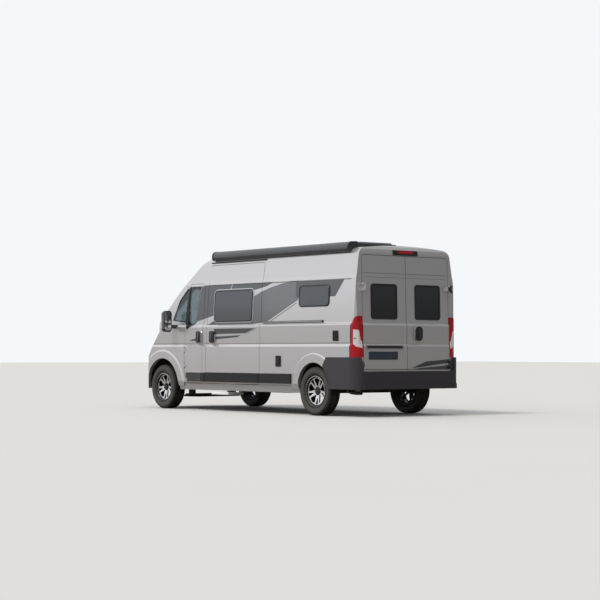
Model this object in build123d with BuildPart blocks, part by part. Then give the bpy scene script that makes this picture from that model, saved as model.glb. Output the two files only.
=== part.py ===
from build123d import *
import os

os.makedirs("parts", exist_ok=True)

# Driving dimensions, in millimetres. A station s is a distance behind the front bumper.
length = 5998
front_overhang = 948
wheelbase = 4035
front_track = 1810
rear_track = 1790
tyre_radius = 364
tyre_section = 225
body_half = 1024
gutter_half = 955
roof_side_half = 902
sill_z = 330
gutter_z = 2023
roof_corner_z = 2345
crown_z = 2520
rear_face = 5930
wall = 45
glass = 6
shut_gap = 7
liner_thick = 6
seat_gap = 0.3
floor_z = 600
floor_thick = 40

# Stations that the pieces share
front_axle = front_overhang
rear_axle_s = front_overhang + wheelbase
axle_z = tyre_radius
cab_door_front = 1586
cab_door_rear = 2090
slide_front = 2200
slide_rear = 3634
door_foot_z = 440
bumper_top_z = 770
rear_door_half = 845
rear_door_foot = 694
rear_door_head = 2360
bonnet_rear = 520
lamp_proud = 5
nose_pivot = 3600
corner_pivot = 1300
beyond = 1400

# The flanks in cross-section, as half-width and height, and the rear face in side view, as station and
# height. The creased skin is what shows; inner faces, glass and lamps follow the plain one inside it.
tumble_under = 0.24
creased_flank = [(978, sill_z), (996, 430), (1014, 446), (1018, 470), (body_half, 1026), (1006, 1052),
                 (1000, 1064), (1004, 1085), (1012, 1340), (1008, 1356), (990, 1374)]
plain_flank = [(1008, 470), (1014, 1020), (998, 1070), (1000, 1340)]
belt_point = (986, 1384)
creased_rear = [(rear_face, -200), (rear_face, 1030), (5922, 1050), (5914, 1058), (5914, 1066), (5918, 1080),
                (5920, 1336), (5912, 1356), (5904, 1364)]
plain_rear = [(5922, -200), (5922, 1030), (5910, 1066), (5910, 1340)]
upper_rear = [(5902, 1380), (5886, 2000), (5878, 2251), (5874, 2400), (5866, 2450), (5842, 2494), (5790, 2530),
              (5790, 2900)]
corner_profile = [(-100, -100), (-100, 760), (30, 914), (83, 1044), (145, 1173), (197, 1289), (197, 3300)]


def at(s):
    """x of a station, forward of mid-length"""
    return length / 2 - s


def box(s0, s1, y0, y1, z0, z1):
    """a plain block between two stations, widths and heights"""
    with BuildPart() as block:
        with Locations((at((s0 + s1) / 2), (y0 + y1) / 2, (z0 + z1) / 2)):
            Box(s1 - s0, y1 - y0, z1 - z0)
    return block.part


def across(sketch, y0=-beyond, y1=beyond):
    """a side-view outline carried straight across the van between two widths"""
    with BuildPart() as prism:
        extrude(sketch.moved(Location((0, y0, 0))), amount=y1 - y0, dir=(0, 1, 0))
    return prism.part


def common(first, *others):
    """what the pieces share"""
    with BuildPart() as shared:
        add(first)
        for other in others:
            add(other, mode=Mode.INTERSECT)
    return shared.part


def without(first, *others):
    """a piece with others cut away"""
    with BuildPart() as rest:
        add(first)
        for other in others:
            add(other, mode=Mode.SUBTRACT)
    return rest.part


def joined(*pieces):
    """pieces made one"""
    with BuildPart() as whole:
        for piece in pieces:
            add(piece)
    return whole.part


def keep(part, name):
    """label a finished piece and write it"""
    part.label = name
    export_step(part, f"parts/{name}.step")
    return part


def body_form(inset):
    """the closed form of the body: its creased skin when inset is 0, else the plain one drawn in by inset"""
    foot = sill_z - (2 * wall if inset > 0 else 0)
    lowest_half, lowest_z = plain_flank[0]
    plain_foot = (lowest_half - (lowest_z - foot) * tumble_under, foot)
    flank = [plain_foot, *plain_flank] if inset else creased_flank
    rear = plain_rear if inset else creased_rear
    with BuildPart() as form:
        with BuildSketch(Plane.YZ.offset(-length)):
            with BuildLine():
                Polyline((0, foot), *flank, belt_point)
                ThreePointArc(belt_point, (978, 1700), (gutter_half, gutter_z))
                Polyline((gutter_half, gutter_z), (gutter_half - 14, 2083), (roof_side_half, roof_corner_z))
                ThreePointArc((roof_side_half, roof_corner_z), (roof_side_half - 42, 2435),
                              (roof_side_half - 150, 2478))
                ThreePointArc((roof_side_half - 150, 2478), (400, crown_z - 13), (0, crown_z))
                Line((0, crown_z), (0, foot))
            make_face()
            mirror(about=Plane.YZ)
            if inset:
                offset(amount=-inset, kind=Kind.INTERSECTION)
        extrude(amount=2 * length)
        with BuildSketch(Plane.XY):
            with BuildLine():
                half = body_half + 40
                ThreePointArc((at(0), 0), (at(14), 380), (at(70), 640))
                ThreePointArc((at(70), 640), (at(305), 880), (at(640), half))
                Line((at(640), half), (at(rear_face - 220), half))
                ThreePointArc((at(rear_face - 220), half), (at(rear_face - 58), 985), (at(rear_face), 860))
                Line((at(rear_face), 860), (at(rear_face), 0))
                Line((at(rear_face), 0), (at(0), 0))
            make_face()
            mirror(about=Plane.XZ)
            if inset:
                offset(amount=-inset, kind=Kind.INTERSECTION)
        extrude(amount=2 * crown_z, mode=Mode.INTERSECT)
        with BuildSketch(Plane.XZ.offset(-beyond)):
            with BuildLine():
                Polyline((at(-900), -200), *[(at(station), z) for station, z in rear + upper_rear],
                         (at(-900), 2900), (at(-900), -200))
            make_face()
            if inset:
                offset(amount=-inset, kind=Kind.INTERSECTION)
        extrude(amount=2 * beyond, mode=Mode.INTERSECT)
        add(nose_air(inset), mode=Mode.SUBTRACT)
        add(corner_air(inset), mode=Mode.SUBTRACT)
    return form.part


def nose_air(inset):
    """the air in front of the nose, windscreen and cab roof, turned about an upright axis"""
    with BuildPart() as air:
        with BuildSketch(Plane.XZ):
            with BuildLine():
                Polyline((at(-900), -100), (at(110), -100), (at(90), 315), (at(12), 430), (at(0), 620),
                         (at(40), 780), (at(80), 1040), (at(150), 1110), (at(bonnet_rear), 1320),
                         (at(1180), 1935), (at(1640), 2306))
                ThreePointArc((at(1640), 2306), (at(1895), 2450), (at(2350), crown_z + 1))
                Polyline((at(2350), crown_z + 1), (at(2350), 3300), (at(-900), 3300), (at(-900), -100))
            make_face()
            if inset:
                offset(amount=inset, kind=Kind.INTERSECTION)
        revolve(axis=Axis((at(nose_pivot), 0, 0), (0, 0, 1)))
        add(box(-1200, nose_pivot, -2 * beyond, 2 * beyond, -400, 3600), mode=Mode.INTERSECT)
    return air.part


def corner_air(inset):
    """the air that rounds off the nose's corners above the bumper, turned about a nearer axis"""
    with BuildPart() as air:
        with BuildSketch(Plane.XZ):
            with BuildLine():
                Polyline((at(-900), -100), *[(at(station), z) for station, z in corner_profile],
                         (at(-900), 3300), (at(-900), -100))
            make_face()
            if inset:
                offset(amount=inset, kind=Kind.INTERSECTION)
        revolve(axis=Axis((at(corner_pivot), 0, 0), (0, 0, 1)))
        add(box(-1200, corner_pivot, -2 * beyond, 2 * beyond, -400, 3600), mode=Mode.INTERSECT)
    return air.part


# Side-view outlines of what is cut in the body's flanks
def cab_door_outline(grow=0):
    """the cab door, its front edge swept back behind the wheel arch and up the windscreen pillar"""
    with BuildSketch(Plane.XZ) as outline:
        with BuildLine():
            Polyline((at(cab_door_front), 1300), (at(cab_door_front), 640))
            ThreePointArc((at(cab_door_front), 640), (at(cab_door_front + 25), 530), (at(1692), door_foot_z))
            Polyline((at(1692), door_foot_z), (at(cab_door_rear), door_foot_z), (at(cab_door_rear), 1960))
            ThreePointArc((at(cab_door_rear), 1960), (at(2070), 2025), (at(2010), 2048))
            Polyline((at(2010), 2048), (at(1700), 2048), (at(1608), 1420), (at(cab_door_front), 1300))
        make_face()
        if grow:
            offset(amount=grow, kind=Kind.INTERSECTION)
    return outline.sketch


def cab_glass_outline():
    """the drop glass, its sill rising to the rear"""
    with BuildSketch(Plane.XZ) as outline:
        with BuildLine():
            Polyline((at(1640), 1322), (at(1857), 1420), (at(1880), 1440), (at(1975), 1990), (at(1680), 1990),
                     (at(1640), 1322), close=True)
        make_face()
        fillet(outline.vertices(), 14)
    return outline.sketch


def quarter_glass_outline():
    """the fixed glass between the windscreen pillar and the door"""
    with BuildSketch(Plane.XZ) as outline:
        with BuildLine():
            Polyline((at(1215), 1470), (at(1560), 1440), (at(1640), 1968), (at(1610), 1962))
            ThreePointArc((at(1610), 1962), (at(1400), 1780), (at(1215), 1470))
        make_face()
        fillet(outline.vertices(), 10)
    return outline.sketch


def rounded_window(s0, s1, z0, z1, radius=60):
    """an acrylic window's outline with rounded corners"""
    with BuildSketch(Plane.XZ) as outline:
        with Locations((at((s0 + s1) / 2), (z0 + z1) / 2)):
            RectangleRounded(s1 - s0, z1 - z0, radius)
    return outline.sketch


def slide_outline(grow=0):
    """the sliding door, tall enough to reach the roof rail"""
    with BuildSketch(Plane.XZ) as outline:
        with Locations((at((slide_front + slide_rear) / 2), (door_foot_z + 2335) / 2)):
            RectangleRounded(slide_rear - slide_front, 2335 - door_foot_z, 40)
        if grow:
            offset(amount=grow)
    return outline.sketch


front_arch_radius = 474


def front_arch(radius=front_arch_radius):
    """the round front arch, open to the ground"""
    with BuildSketch(Plane.XZ) as outline:
        with Locations((at(front_axle), axle_z)):
            Circle(radius)
        with Locations((at(front_axle), axle_z - radius / 2)):
            Rectangle(2 * radius, radius)
    return outline.sketch


def rear_arch(grow=0):
    """the flatter rear arch with upright front and back edges"""
    reach = 368 + grow
    top = 790 + grow
    with BuildSketch(Plane.XZ) as outline:
        with BuildLine():
            Polyline((at(rear_axle_s - reach), 200), (at(rear_axle_s - reach), 500))
            ThreePointArc((at(rear_axle_s - reach), 500), (at(rear_axle_s - 20), top),
                          (at(rear_axle_s + reach), 500))
            Polyline((at(rear_axle_s + reach), 500), (at(rear_axle_s + reach), 200),
                     (at(rear_axle_s - reach), 200))
        make_face()
    return outline.sketch


# The camper windows, side by side: side, front, rear, foot, head
camper_windows = [
    ("left", 2392, 3409, 1428, 1922),
    ("left", 4584, 5299, 1626, 1939),
    ("right", 2500, 3300, 1428, 1922),
    ("right", 4584, 5299, 1626, 1939),
]


def side_range(side):
    """the widths from inside the wall to well outside it"""
    return (600, beyond) if side == "left" else (-beyond, -600)


# The body shell with every window, arch and lid cut through it
outer = body_form(0)
inner = body_form(wall)
glass_face = body_form(glass)
glass_back = body_form(2 * glass)
acrylic_face = body_form(-10)


def glazing(hole, face):
    """the pane that fills a hole, from its face to the back of the glass"""
    return without(common(hole, face), glass_back)



light_front = 4420
light_rear = 5200
light_half = 450
roof_hole = box(light_front + 40, light_rear - 40, -light_half + 40, light_half - 40, 2380, 2700)

with BuildPart() as windscreen_hole:
    with BuildSketch(Plane.YZ.offset(at(1500))):
        with BuildLine():
            Polyline((-800, 1372), (800, 1372), (690, 1985), (-690, 1985), (-800, 1372), close=True)
        screen = make_face()
        fillet(screen.vertices(), 60)
    extrude(amount=1500)

with BuildPart() as rear_glass_holes:
    with BuildSketch(Plane.YZ.offset(at(rear_face + 200))):
        for side in (-1, 1):
            with Locations((side * 429, (1430 + 1938) / 2)):
                RectangleRounded(498, 1938 - 1430, 45)
    extrude(amount=400)

window_holes = [
    across(rounded_window(front, rear, foot, head), *side_range(side))
    for side, front, rear, foot, head in camper_windows
]
cab_glass_hole = across(cab_glass_outline())
quarter_hole = across(quarter_glass_outline())
holes = [windscreen_hole.part, rear_glass_holes.part, roof_hole, cab_glass_hole, quarter_hole,
         across(front_arch()), across(rear_arch()),
         box(rear_axle_s + 300, length + 50, -beyond, beyond, 200, 403)] + window_holes
shell = without(outer, inner, *holes)


def hinge(point, run, door_way, fixed_way, inward, fixed_inward=None, radius=8, half=20, door_leaf=40,
          fixed_leaf=40, sunk=24):
    """a pin hinge of three barrels, its middle one on the door: returns door part, fixed part, relief"""
    start = Vector(*point)
    along = Vector(*run)
    reach = half + 25

    def barrel(low, high, size):
        with BuildPart() as roll:
            with BuildSketch(Plane(origin=start + along * low, z_dir=along)):
                Circle(size)
            extrude(amount=high - low)
        return roll.part

    def leaf(way, sink_way, long, low, high):
        facing = Vector(*way).cross(Vector(*sink_way))
        with BuildPart() as plate:
            with BuildSketch(Plane(origin=start + along * low, x_dir=way, z_dir=facing)):
                with Locations((long / 2, (sunk - radius / 2) / 2)):
                    Rectangle(long, sunk + radius / 2)
            extrude(amount=high - low, dir=along)
        return plate.part

    fixed_inward = fixed_inward or inward
    moving = joined(barrel(-half, half, radius), leaf(door_way, inward, door_leaf, -half, half))
    fixed = joined(barrel(half + seat_gap, reach, radius),
                   leaf(fixed_way, fixed_inward, fixed_leaf, half + seat_gap, reach),
                   barrel(-reach, -half - seat_gap, radius),
                   leaf(fixed_way, fixed_inward, fixed_leaf, -reach, -half - seat_gap))
    return moving, fixed, barrel(-reach - shut_gap, reach + shut_gap, radius + shut_gap)


def side_of(part, side):
    """the half of a piece on one side of the van"""
    y0, y1 = (0, beyond) if side == "left" else (-beyond, 0)
    return common(part, box(-200, length + 200, y0, y1, -100, 3000))


# Cab doors, hung on two hinges at their front edge
cab_hinge_x = at(cab_door_front - shut_gap / 2)
cab_hinge_y = body_half + 4
cab_hinge_heights = (720, 975)
grip_root = body_half - 44
grip_reach = 62
cab_door_cut = across(cab_door_outline(shut_gap))
door_skin = 8
door_step = 12
core_form = body_form(door_skin)
cab_doors = without(common(shell, across(cab_door_outline())),
                    common(core_form, without(across(cab_door_outline()), across(cab_door_outline(-door_step)))))
cab_fixed = {"left": [], "right": []}
cab_relief = {"left": [], "right": []}
cab_door = {}
for side, way in (("left", 1), ("right", -1)):
    door = side_of(cab_doors, side)
    moving_parts = []
    for height in cab_hinge_heights:
        moving, fixed, relief = hinge((cab_hinge_x, way * cab_hinge_y, height), (0, 0, 1), (-1, 0, 0),
                                      (1, 0, 0), (0, -way, 0))
        moving_parts.append(moving)
        cab_fixed[side].append(fixed)
        cab_relief[side].append(relief)
    with BuildPart() as grip:
        with BuildSketch(Plane.XZ.offset(-way * grip_root)):
            with Locations((at(2000), 1185)):
                RectangleRounded(122, 190, 36)
        extrude(amount=-way * grip_reach)
    low, high = sorted((way * (body_half - 20), way * (body_half + 18)))
    strip = without(box(1650, cab_door_rear - 8, low, high, 465, 610), box(0, 1690, -beyond, beyond, 0, 520))
    cab_door[side] = joined(without(door, *cab_relief[side]), *moving_parts, grip.part, strip)
    keep(cab_door[side], f"cab_door_{side}")
    keep(side_of(glazing(cab_glass_hole, glass_face), side), f"cab_glass_{side}")

# Rear doors, hung on outer hinges at the rear face
hinge_stand = 38
rear_hinge_x = at(rear_face) - hinge_stand
rear_hinge_y = rear_door_half + shut_gap / 2 + 2
rear_hinge_table = [(762, 60), (1894, 110)]
rear_door_depth = 315
meeting_gap = 8
meeting_step = 14
with BuildPart() as rear_opening:
    with BuildSketch(Plane.YZ.offset(at(rear_face + 200))):
        with Locations((0, (rear_door_foot + rear_door_head) / 2)):
            RectangleRounded(2 * rear_door_half, rear_door_head - rear_door_foot, 40)
        offset(amount=shut_gap)
    extrude(amount=rear_door_depth)
with BuildPart() as rear_leaves:
    with BuildSketch(Plane.YZ.offset(at(rear_face + 200))):
        with Locations((0, (rear_door_foot + rear_door_head) / 2)):
            RectangleRounded(2 * rear_door_half, rear_door_head - rear_door_foot, 40)
    extrude(amount=rear_door_depth)
rear_doors = common(shell, rear_leaves.part)
meeting_rebate = common(core_form, box(5000, length, -meeting_step, meeting_step, 0, 3000))
rear_fixed = {"left": [], "right": []}
plate_recess = box(rear_face - 22, rear_face + 20, 77, 800, 816, 1045)
plate_light = box(rear_face - 26, rear_face + 2, 96, 781, 996, 1040)
for side, way in (("left", 1), ("right", -1)):
    door = without(side_of(rear_doors, side), box(5000, length, -meeting_gap / 2, meeting_gap / 2, 0, 3000),
                   meeting_rebate)
    moving_parts = []
    for height, leaf_depth in rear_hinge_table:
        moving, fixed, relief = hinge((rear_hinge_x, way * rear_hinge_y, height), (0, 0, 1), (0, -way, 0),
                                      (0, way, 0), (1, 0, 0), radius=9, half=32, door_leaf=40, fixed_leaf=24,
                                      sunk=leaf_depth)
        moving_parts.append(moving)
        rear_fixed[side].append(fixed)
    if side == "left":
        door = without(door, plate_recess)
        moving_parts.append(plate_light)
    else:
        with BuildPart() as grip:
            with BuildSketch(Plane.YZ.offset(at(rear_face - 30))):
                with Locations((-218, 1220)):
                    RectangleRounded(133, 215, 60)
            extrude(amount=-54)
        moving_parts.append(grip.part)
    keep(joined(door, *moving_parts), f"rear_door_{side}")
    keep(glazing(side_of(rear_glass_holes.part, side), glass_face), f"rear_glass_{side}")

# The nose: bumper, grille, headlamps and bonnet share the shell's front
bonnet_half = 800
bumper_zone = box(-50, 600, -beyond, beyond, 250, bumper_top_z)
grille_zone = box(-50, 300, -430, 430, 800, 1030)
lamp_reach = 560
with BuildPart() as lamp_zone:
    with BuildSketch(Plane.YZ.offset(at(lamp_reach))):
        with BuildLine():
            Polyline((470, 830), (760, 800), (1010, 880), (1030, 1200), (860, 1140), (560, 1010), (470, 830),
                     close=True)
        make_face()
        mirror(about=Plane.YZ)
    extrude(amount=lamp_reach + 100)
cowl_gap = 18
bonnet_zone = box(-50, bonnet_rear - cowl_gap, -bonnet_half, bonnet_half, 1050, 1500)
bonnet_cut = box(-50, bonnet_rear, -bonnet_half - shut_gap, bonnet_half + shut_gap, 1050 - shut_gap, 1500)
nose_shell = common(shell, box(-50, 600, -beyond, beyond, 200, 1340))
with BuildPart() as grille:
    add(common(nose_shell, grille_zone))
    with Locations(*[(at(60), 0, 834 + 40 * row) for row in range(5)]):
        Box(240, 780, 22, mode=Mode.SUBTRACT)
    add(box(88, 96, -400, 400, 815, 1015))
keep(grille.part, "grille")
keep(without(common(nose_shell, lamp_zone.part), bonnet_cut, grille_zone), "headlamps")
intake_half = 420
intake_foot = 445
intake_head = 590
slats = [box(30, 62, -intake_half - 12, intake_half + 12, height, height + 10) for height in (478, 514, 550)]
bonnet_hinges = [hinge((at(bonnet_rear - cowl_gap / 2), way * 560, 1306), (0, 1, 0), (1, 0, 0), (-1, 0, 0),
                       (0, 0, -1), sunk=54)
                 for way in (-1, 1)]
with BuildPart() as bonnet:
    add(common(nose_shell, bonnet_zone))
    for moving, fixed, relief in bonnet_hinges:
        add(relief, mode=Mode.SUBTRACT)
    for moving, fixed, relief in bonnet_hinges:
        add(moving)
keep(bonnet.part, "bonnet")

# Front wings, from the bumper to the cab doors and up to the windscreen's foot
wing_head = 1320
wing_zone = box(-50, cab_door_front + 140, -beyond, beyond, 200, wing_head)
flare_form = body_form(-20)


def flare(station, height, low_radius, high_radius, arch, side):
    """the raised, cone-sided blister round an arch"""
    way = 1 if side == "left" else -1
    foot_y = 1002
    rise = 32
    with BuildPart() as blister:
        with BuildSketch(Plane((at(station), way * foot_y, height), x_dir=(1, 0, 0), z_dir=(0, way, 0))):
            Circle(low_radius)
        with BuildSketch(Plane((at(station), way * (foot_y + rise), height), x_dir=(1, 0, 0), z_dir=(0, way, 0))):
            Circle(high_radius)
        loft()
        add(flare_form, mode=Mode.INTERSECT)
        add(across(arch), mode=Mode.SUBTRACT)
        add(box(0, length, -beyond, beyond, -100, sill_z + 60), mode=Mode.SUBTRACT)
    return blister.part


wings = without(common(shell, wing_zone), bumper_zone, grille_zone, lamp_zone.part, bonnet_cut, cab_door_cut,
                *cab_relief["left"], *cab_relief["right"], *[relief for moving, fixed, relief in bonnet_hinges])
front_flares = [common(flare(front_axle, axle_z, 690, 584, front_arch(), side),
                       box(lamp_reach, cab_door_front - 2 * shut_gap, -beyond, beyond, 200, wing_head))
                for side in ("left", "right")]
wing_flares = [without(blister, bumper_zone) for blister in front_flares]
bumper_flares = [common(blister, bumper_zone) for blister in front_flares]
keep(joined(without(common(nose_shell, bumper_zone),
                    box(-50, 200, -intake_half, intake_half, intake_foot, intake_head)),
            *slats, *bumper_flares), "front_bumper")
keep(joined(wings, *wing_flares, *cab_fixed["left"], *cab_fixed["right"],
            *[fixed for moving, fixed, relief in bonnet_hinges]), "front_wings")

# Windscreen and quarter glasses
with BuildPart() as cab_glazing:
    add(glazing(windscreen_hole.part, glass_face))
    add(glazing(quarter_hole, glass_face))
keep(cab_glazing.part, "cab_glazing")

# Side walls with pillars, the roof above them, and the sliding door
roof_zone = joined(box(slide_front, length, -beyond, beyond, roof_corner_z, 3000),
                   box(0, slide_front, -beyond, beyond, 2060, 3000))
lamp_front = 5815
bumper_head = 869
with BuildPart() as tail_zone:
    with BuildSketch(Plane.XZ.offset(-beyond)):
        with BuildLine():
            Polyline((at(length), bumper_head), (at(lamp_front), bumper_head), (at(lamp_front - 8), 1180),
                     (at(lamp_front), 1290))
            ThreePointArc((at(lamp_front), 1290), (at(lamp_front + 35), 1400), (at(lamp_front + 105), 1482))
            Polyline((at(lamp_front + 105), 1482), (at(length), 1482), (at(length), bumper_head))
        make_face()
    extrude(amount=2 * beyond)
    add(box(5000, length + 50, -rear_door_half - shut_gap, rear_door_half + shut_gap, 0, 3000),
        mode=Mode.SUBTRACT)
side_shell = without(shell, roof_zone, wing_zone, tail_zone.part, rear_opening.part, cab_door_cut)
with BuildSketch(Plane.XZ) as bumper_outline:
    with BuildLine():
        Polyline((at(5150), 300), (at(5150), 640), (at(5228), 779), (at(5285), bumper_head),
                 (at(length + 20), bumper_head), (at(length + 20), 300), close=True)
    make_face()
bumper_side = across(bumper_outline.sketch)
for side in ("left", "right"):
    panel = side_of(side_shell, side)
    if side == "left":
        panel = without(panel, across(slide_outline(shut_gap), 600, beyond))
    lip = without(flare(rear_axle_s, 411.5, 560, 496, rear_arch(), side), bumper_side)
    keep(joined(panel, lip, *rear_fixed[side]), f"side_{side}")
keep(common(without(shell, rear_opening.part), roof_zone), "roof")
slide_panel = common(shell, across(slide_outline(), 600, beyond), box(0, length, 0, beyond, 0, roof_corner_z))
with BuildPart() as slide_grip:
    with BuildSketch(Plane.XZ.offset(-grip_root)):
        with Locations((at(2369), 1185)):
            RectangleRounded(112, 190, 36)
    extrude(amount=-grip_reach)
keep(joined(slide_panel, slide_grip.part), "sliding_door")

# Acrylic camper windows, standing a little proud
with BuildPart() as windows:
    for hole in window_holes:
        add(glazing(hole, acrylic_face))
keep(windows.part, "camper_windows")

# Lamps at the rear corners and the high brake lamp
lamp_form = common(box(5600, length, -beyond, beyond, 800, 1520), body_form(-lamp_proud))
lamps = [without(common(side_of(lamp_form, side), side_of(tail_zone.part, side)), inner)
         for side in ("left", "right")]
brake_proud = 14
brake_half = 240
brake = without(common(box(5700, length, -brake_half, brake_half, 2374, 2449), body_form(-brake_proud)), outer)
keep(joined(*lamps, brake), "rear_lamps")

# Floor with its front bulkhead
well_half = 760
with BuildPart() as floor:
    add(common(inner, joined(box(1000, rear_face, -beyond, beyond, floor_z - floor_thick, floor_z),
                             box(1000, 1030, -beyond, beyond, floor_z - floor_thick, 1290))))
    for way in (-1, 1):
        low, high = sorted((way * (well_half - liner_thick), way * beyond))
        add(box(rear_axle_s - 376, rear_axle_s + 376, low, high, 300, 900), mode=Mode.SUBTRACT)
        low, high = sorted((way * 560, way * beyond))
        add(box(900, front_axle + front_arch_radius + 8, low, high, 300, 900), mode=Mode.SUBTRACT)
keep(floor.part, "floor")

# Arch liners, one over each wheel
with BuildPart() as liners:
    for way in (-1, 1):
        low, high = sorted((way * 560, way * beyond))
        wall_low, wall_high = sorted((way * 560, way * (560 + liner_thick)))
        add(without(common(inner, across(front_arch(front_arch_radius + liner_thick), low, high)),
                    across(front_arch(), low, high), box(0, length, -beyond, beyond, -beyond, 420)))
        add(without(across(front_arch(), wall_low, wall_high), box(0, length, -beyond, beyond, -beyond, 560)))
        low, high = sorted((way * (well_half - liner_thick), way * beyond))
        wall_low, wall_high = sorted((way * (well_half - liner_thick), way * well_half))
        add(without(common(inner, across(rear_arch(liner_thick), low, high)), across(rear_arch(), low, high),
                    box(0, length, -beyond, beyond, -100, 470)))
        add(without(across(rear_arch(), wall_low, wall_high), box(0, length, -beyond, beyond, -100, 470)))
keep(liners.part, "arch_liners")

# Rear bumper: a lower lip, and above it a band that climbs beside the doors and along to the arches
bumper_foot = 403
bumper_crease = 476
bumper_tuck = 10
bumper_step = 662
bumper_half = body_half + 22
bumper_corner = 190
with BuildPart() as rear_bumper:
    for foot, head, tuck in ((bumper_foot, bumper_crease, 0), (bumper_crease, bumper_head, bumper_tuck)):
        with BuildSketch(Plane.XY.offset(foot)):
            with BuildLine():
                radius = bumper_corner - tuck
                turn_s = length - bumper_corner
                turn_y = bumper_half - bumper_corner
                Polyline((at(5100), 0), (at(5100), turn_y + radius), (at(turn_s), turn_y + radius))
                CenterArc((at(turn_s), turn_y), radius, 90, 90)
                Polyline((at(turn_s + radius), turn_y), (at(turn_s + radius), 0), (at(5100), 0))
            make_face()
            mirror(about=Plane.XZ)
        extrude(amount=head - foot)
    add(bumper_side, mode=Mode.INTERSECT)
    add(outer, mode=Mode.SUBTRACT)
    add(box(5000, rear_face, -900, 900, 300, 900), mode=Mode.SUBTRACT)
    with BuildSketch(Plane.YZ.offset(at(length + 10))):
        with BuildLine():
            Polyline((0, bumper_step), (rear_hinge_y + 40, bumper_step), (rear_hinge_y + 48, 760),
                     (rear_hinge_y + 80, 900), (0, 900), (0, bumper_step))
        make_face()
        mirror(about=Plane.YZ)
    extrude(amount=length + 10 - rear_face + 1, mode=Mode.SUBTRACT)
    add(across(rear_arch()), mode=Mode.SUBTRACT)
keep(rear_bumper.part, "rear_bumper")

# Black side mouldings, rail cover, hook-up flap and vent: front, rear, low y, high y, foot, head
trim_root = 950
moulding_out = body_half + 18
trim_table = [
    (slide_front + 4, slide_rear - 4, trim_root, moulding_out, 465, 615),
    (slide_rear + 10, 4440, trim_root, moulding_out, 465, 615),
    (slide_front + 4, slide_rear - 4, -moulding_out, -trim_root, 465, 615),
    (slide_rear + 10, 4440, -moulding_out, -trim_root, 465, 615),
    (slide_rear + 40, 5160, trim_root, 1000, 1390, 1410),
    (4064, 4189, trim_root, 1029, 721, 888),
    (5425, 5542, trim_root, 1017, 1107, 1259),
]
with BuildPart() as mouldings:
    for front, rear, low, high, foot, head in trim_table:
        add(box(front, rear, low, high, foot, head))
    add(outer, mode=Mode.SUBTRACT)
keep(mouldings.part, "side_mouldings")

# Awning cassette on the left roof edge
awning_front = 2250
awning_rear = 5680
cap_thick = 24
with BuildSketch() as awning_section:
    with BuildLine():
        Polyline((760, 2480), (900, 2416), (918, 2420))
        ThreePointArc((918, 2420), (934, 2440), (938, 2470))
        ThreePointArc((938, 2470), (925, 2525), (880, 2558))
        Polyline((880, 2558), (775, 2564), (760, 2550), (760, 2480))
    make_face()
with BuildPart() as awning:
    with BuildSketch(Plane.YZ.offset(at(awning_rear))):
        add(awning_section.sketch)
    extrude(amount=awning_rear - awning_front)
    for cap in (awning_rear, awning_front + cap_thick):
        with BuildSketch(Plane.YZ.offset(at(cap))):
            add(awning_section.sketch)
            offset(amount=5)
        extrude(amount=cap_thick)
    add(outer, mode=Mode.SUBTRACT)
keep(awning.part, "awning")

# Roof light: a frame through the roof and its acrylic lid
light_top = 2566
with BuildPart() as light_frame:
    add(box(light_front, light_rear, -light_half, light_half, 2440, light_top))
    add(outer, mode=Mode.SUBTRACT)
    add(box(light_front + 40, light_rear - 40, -light_half + 40, light_half - 40, 2400, 2700),
        mode=Mode.SUBTRACT)
lid_thick = 16
lid_hinge_y = 220
lid_hinges = [hinge((at(light_front - 8), way * lid_hinge_y, light_top + lid_thick / 2), (0, 1, 0), (-1, 0, 0),
                    (0, 0, -1), (0, 0, 1), fixed_inward=(-1, 0, 0), radius=5, door_leaf=30, fixed_leaf=24,
                    sunk=6 + shut_gap) for way in (-1, 1)]
with BuildPart() as light_lid:
    with BuildSketch(Plane.XY.offset(light_top + seat_gap)):
        with Locations((at((light_front + light_rear) / 2), 0)):
            RectangleRounded(light_rear - light_front, 2 * light_half, 50)
    extrude(amount=lid_thick)
    with BuildSketch(Plane.XY.offset(light_top + seat_gap + lid_thick)):
        with Locations((at((light_front + light_rear) / 2), 0)):
            RectangleRounded(light_rear - light_front - 70, 2 * light_half - 70, 60)
    extrude(amount=28, taper=45)
    for way in (-1, 1):
        add(box(light_front, light_front + 14, way * lid_hinge_y - 52, way * lid_hinge_y + 52, light_top, 2700),
            mode=Mode.SUBTRACT)
    for moving, fixed, relief in lid_hinges:
        add(moving)
keep(joined(light_frame.part, *[without(fixed, outer) for moving, fixed, relief in lid_hinges]),
     "roof_light_frame")
keep(light_lid.part, "roof_light_lid")

# Entrance step, stowed under the sliding door
with BuildPart() as step:
    add(box(2377, 2781, 690, 975, 262, 296))
    for station in (2420, 2740):
        add(box(station - 20, station + 20, 700, 740, 296, floor_z - floor_thick))
keep(step.part, "step")

# Chassis: rails, cross-members, front arms and struts
rail_in = 380
rail_out = 460
rail_low = 450
kingpin_y = 830
arm_low = 222
arm_high = 480
with BuildPart() as chassis:
    for way in (-1, 1):
        low, high = sorted((way * rail_in, way * rail_out))
        add(box(250, rear_face - 60, low, high, rail_low, floor_z - floor_thick))
        low, high = sorted((way * 200, way * (kingpin_y + 25)))
        add(box(front_axle - 30, front_axle + 30, low, high, arm_low - 24, arm_low))
        low, high = sorted((way * 670, way * (kingpin_y + 25)))
        add(box(front_axle - 30, front_axle + 30, low, high, arm_high, arm_high + 22))
        low, high = sorted((way * 440, way * 715))
        add(box(front_axle - 30, front_axle + 30, low, high, arm_high, arm_high + 60))
    for station in (330, 1400, 2300, 3200, 4100, 5700):
        add(box(station - 30, station + 30, -rail_in, rail_in, rail_low + 10, floor_z - floor_thick - 10))
    add(box(front_axle - 150, front_axle + 150, -rail_out, rail_out, 190, 240))
    for way in (-1, 1):
        low, high = sorted((way * (rail_in + 10), way * (rail_out - 10)))
        add(box(front_axle - 60, front_axle + 60, low, high, 240, rail_low))
tow_hole_radius = 6.5
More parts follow.
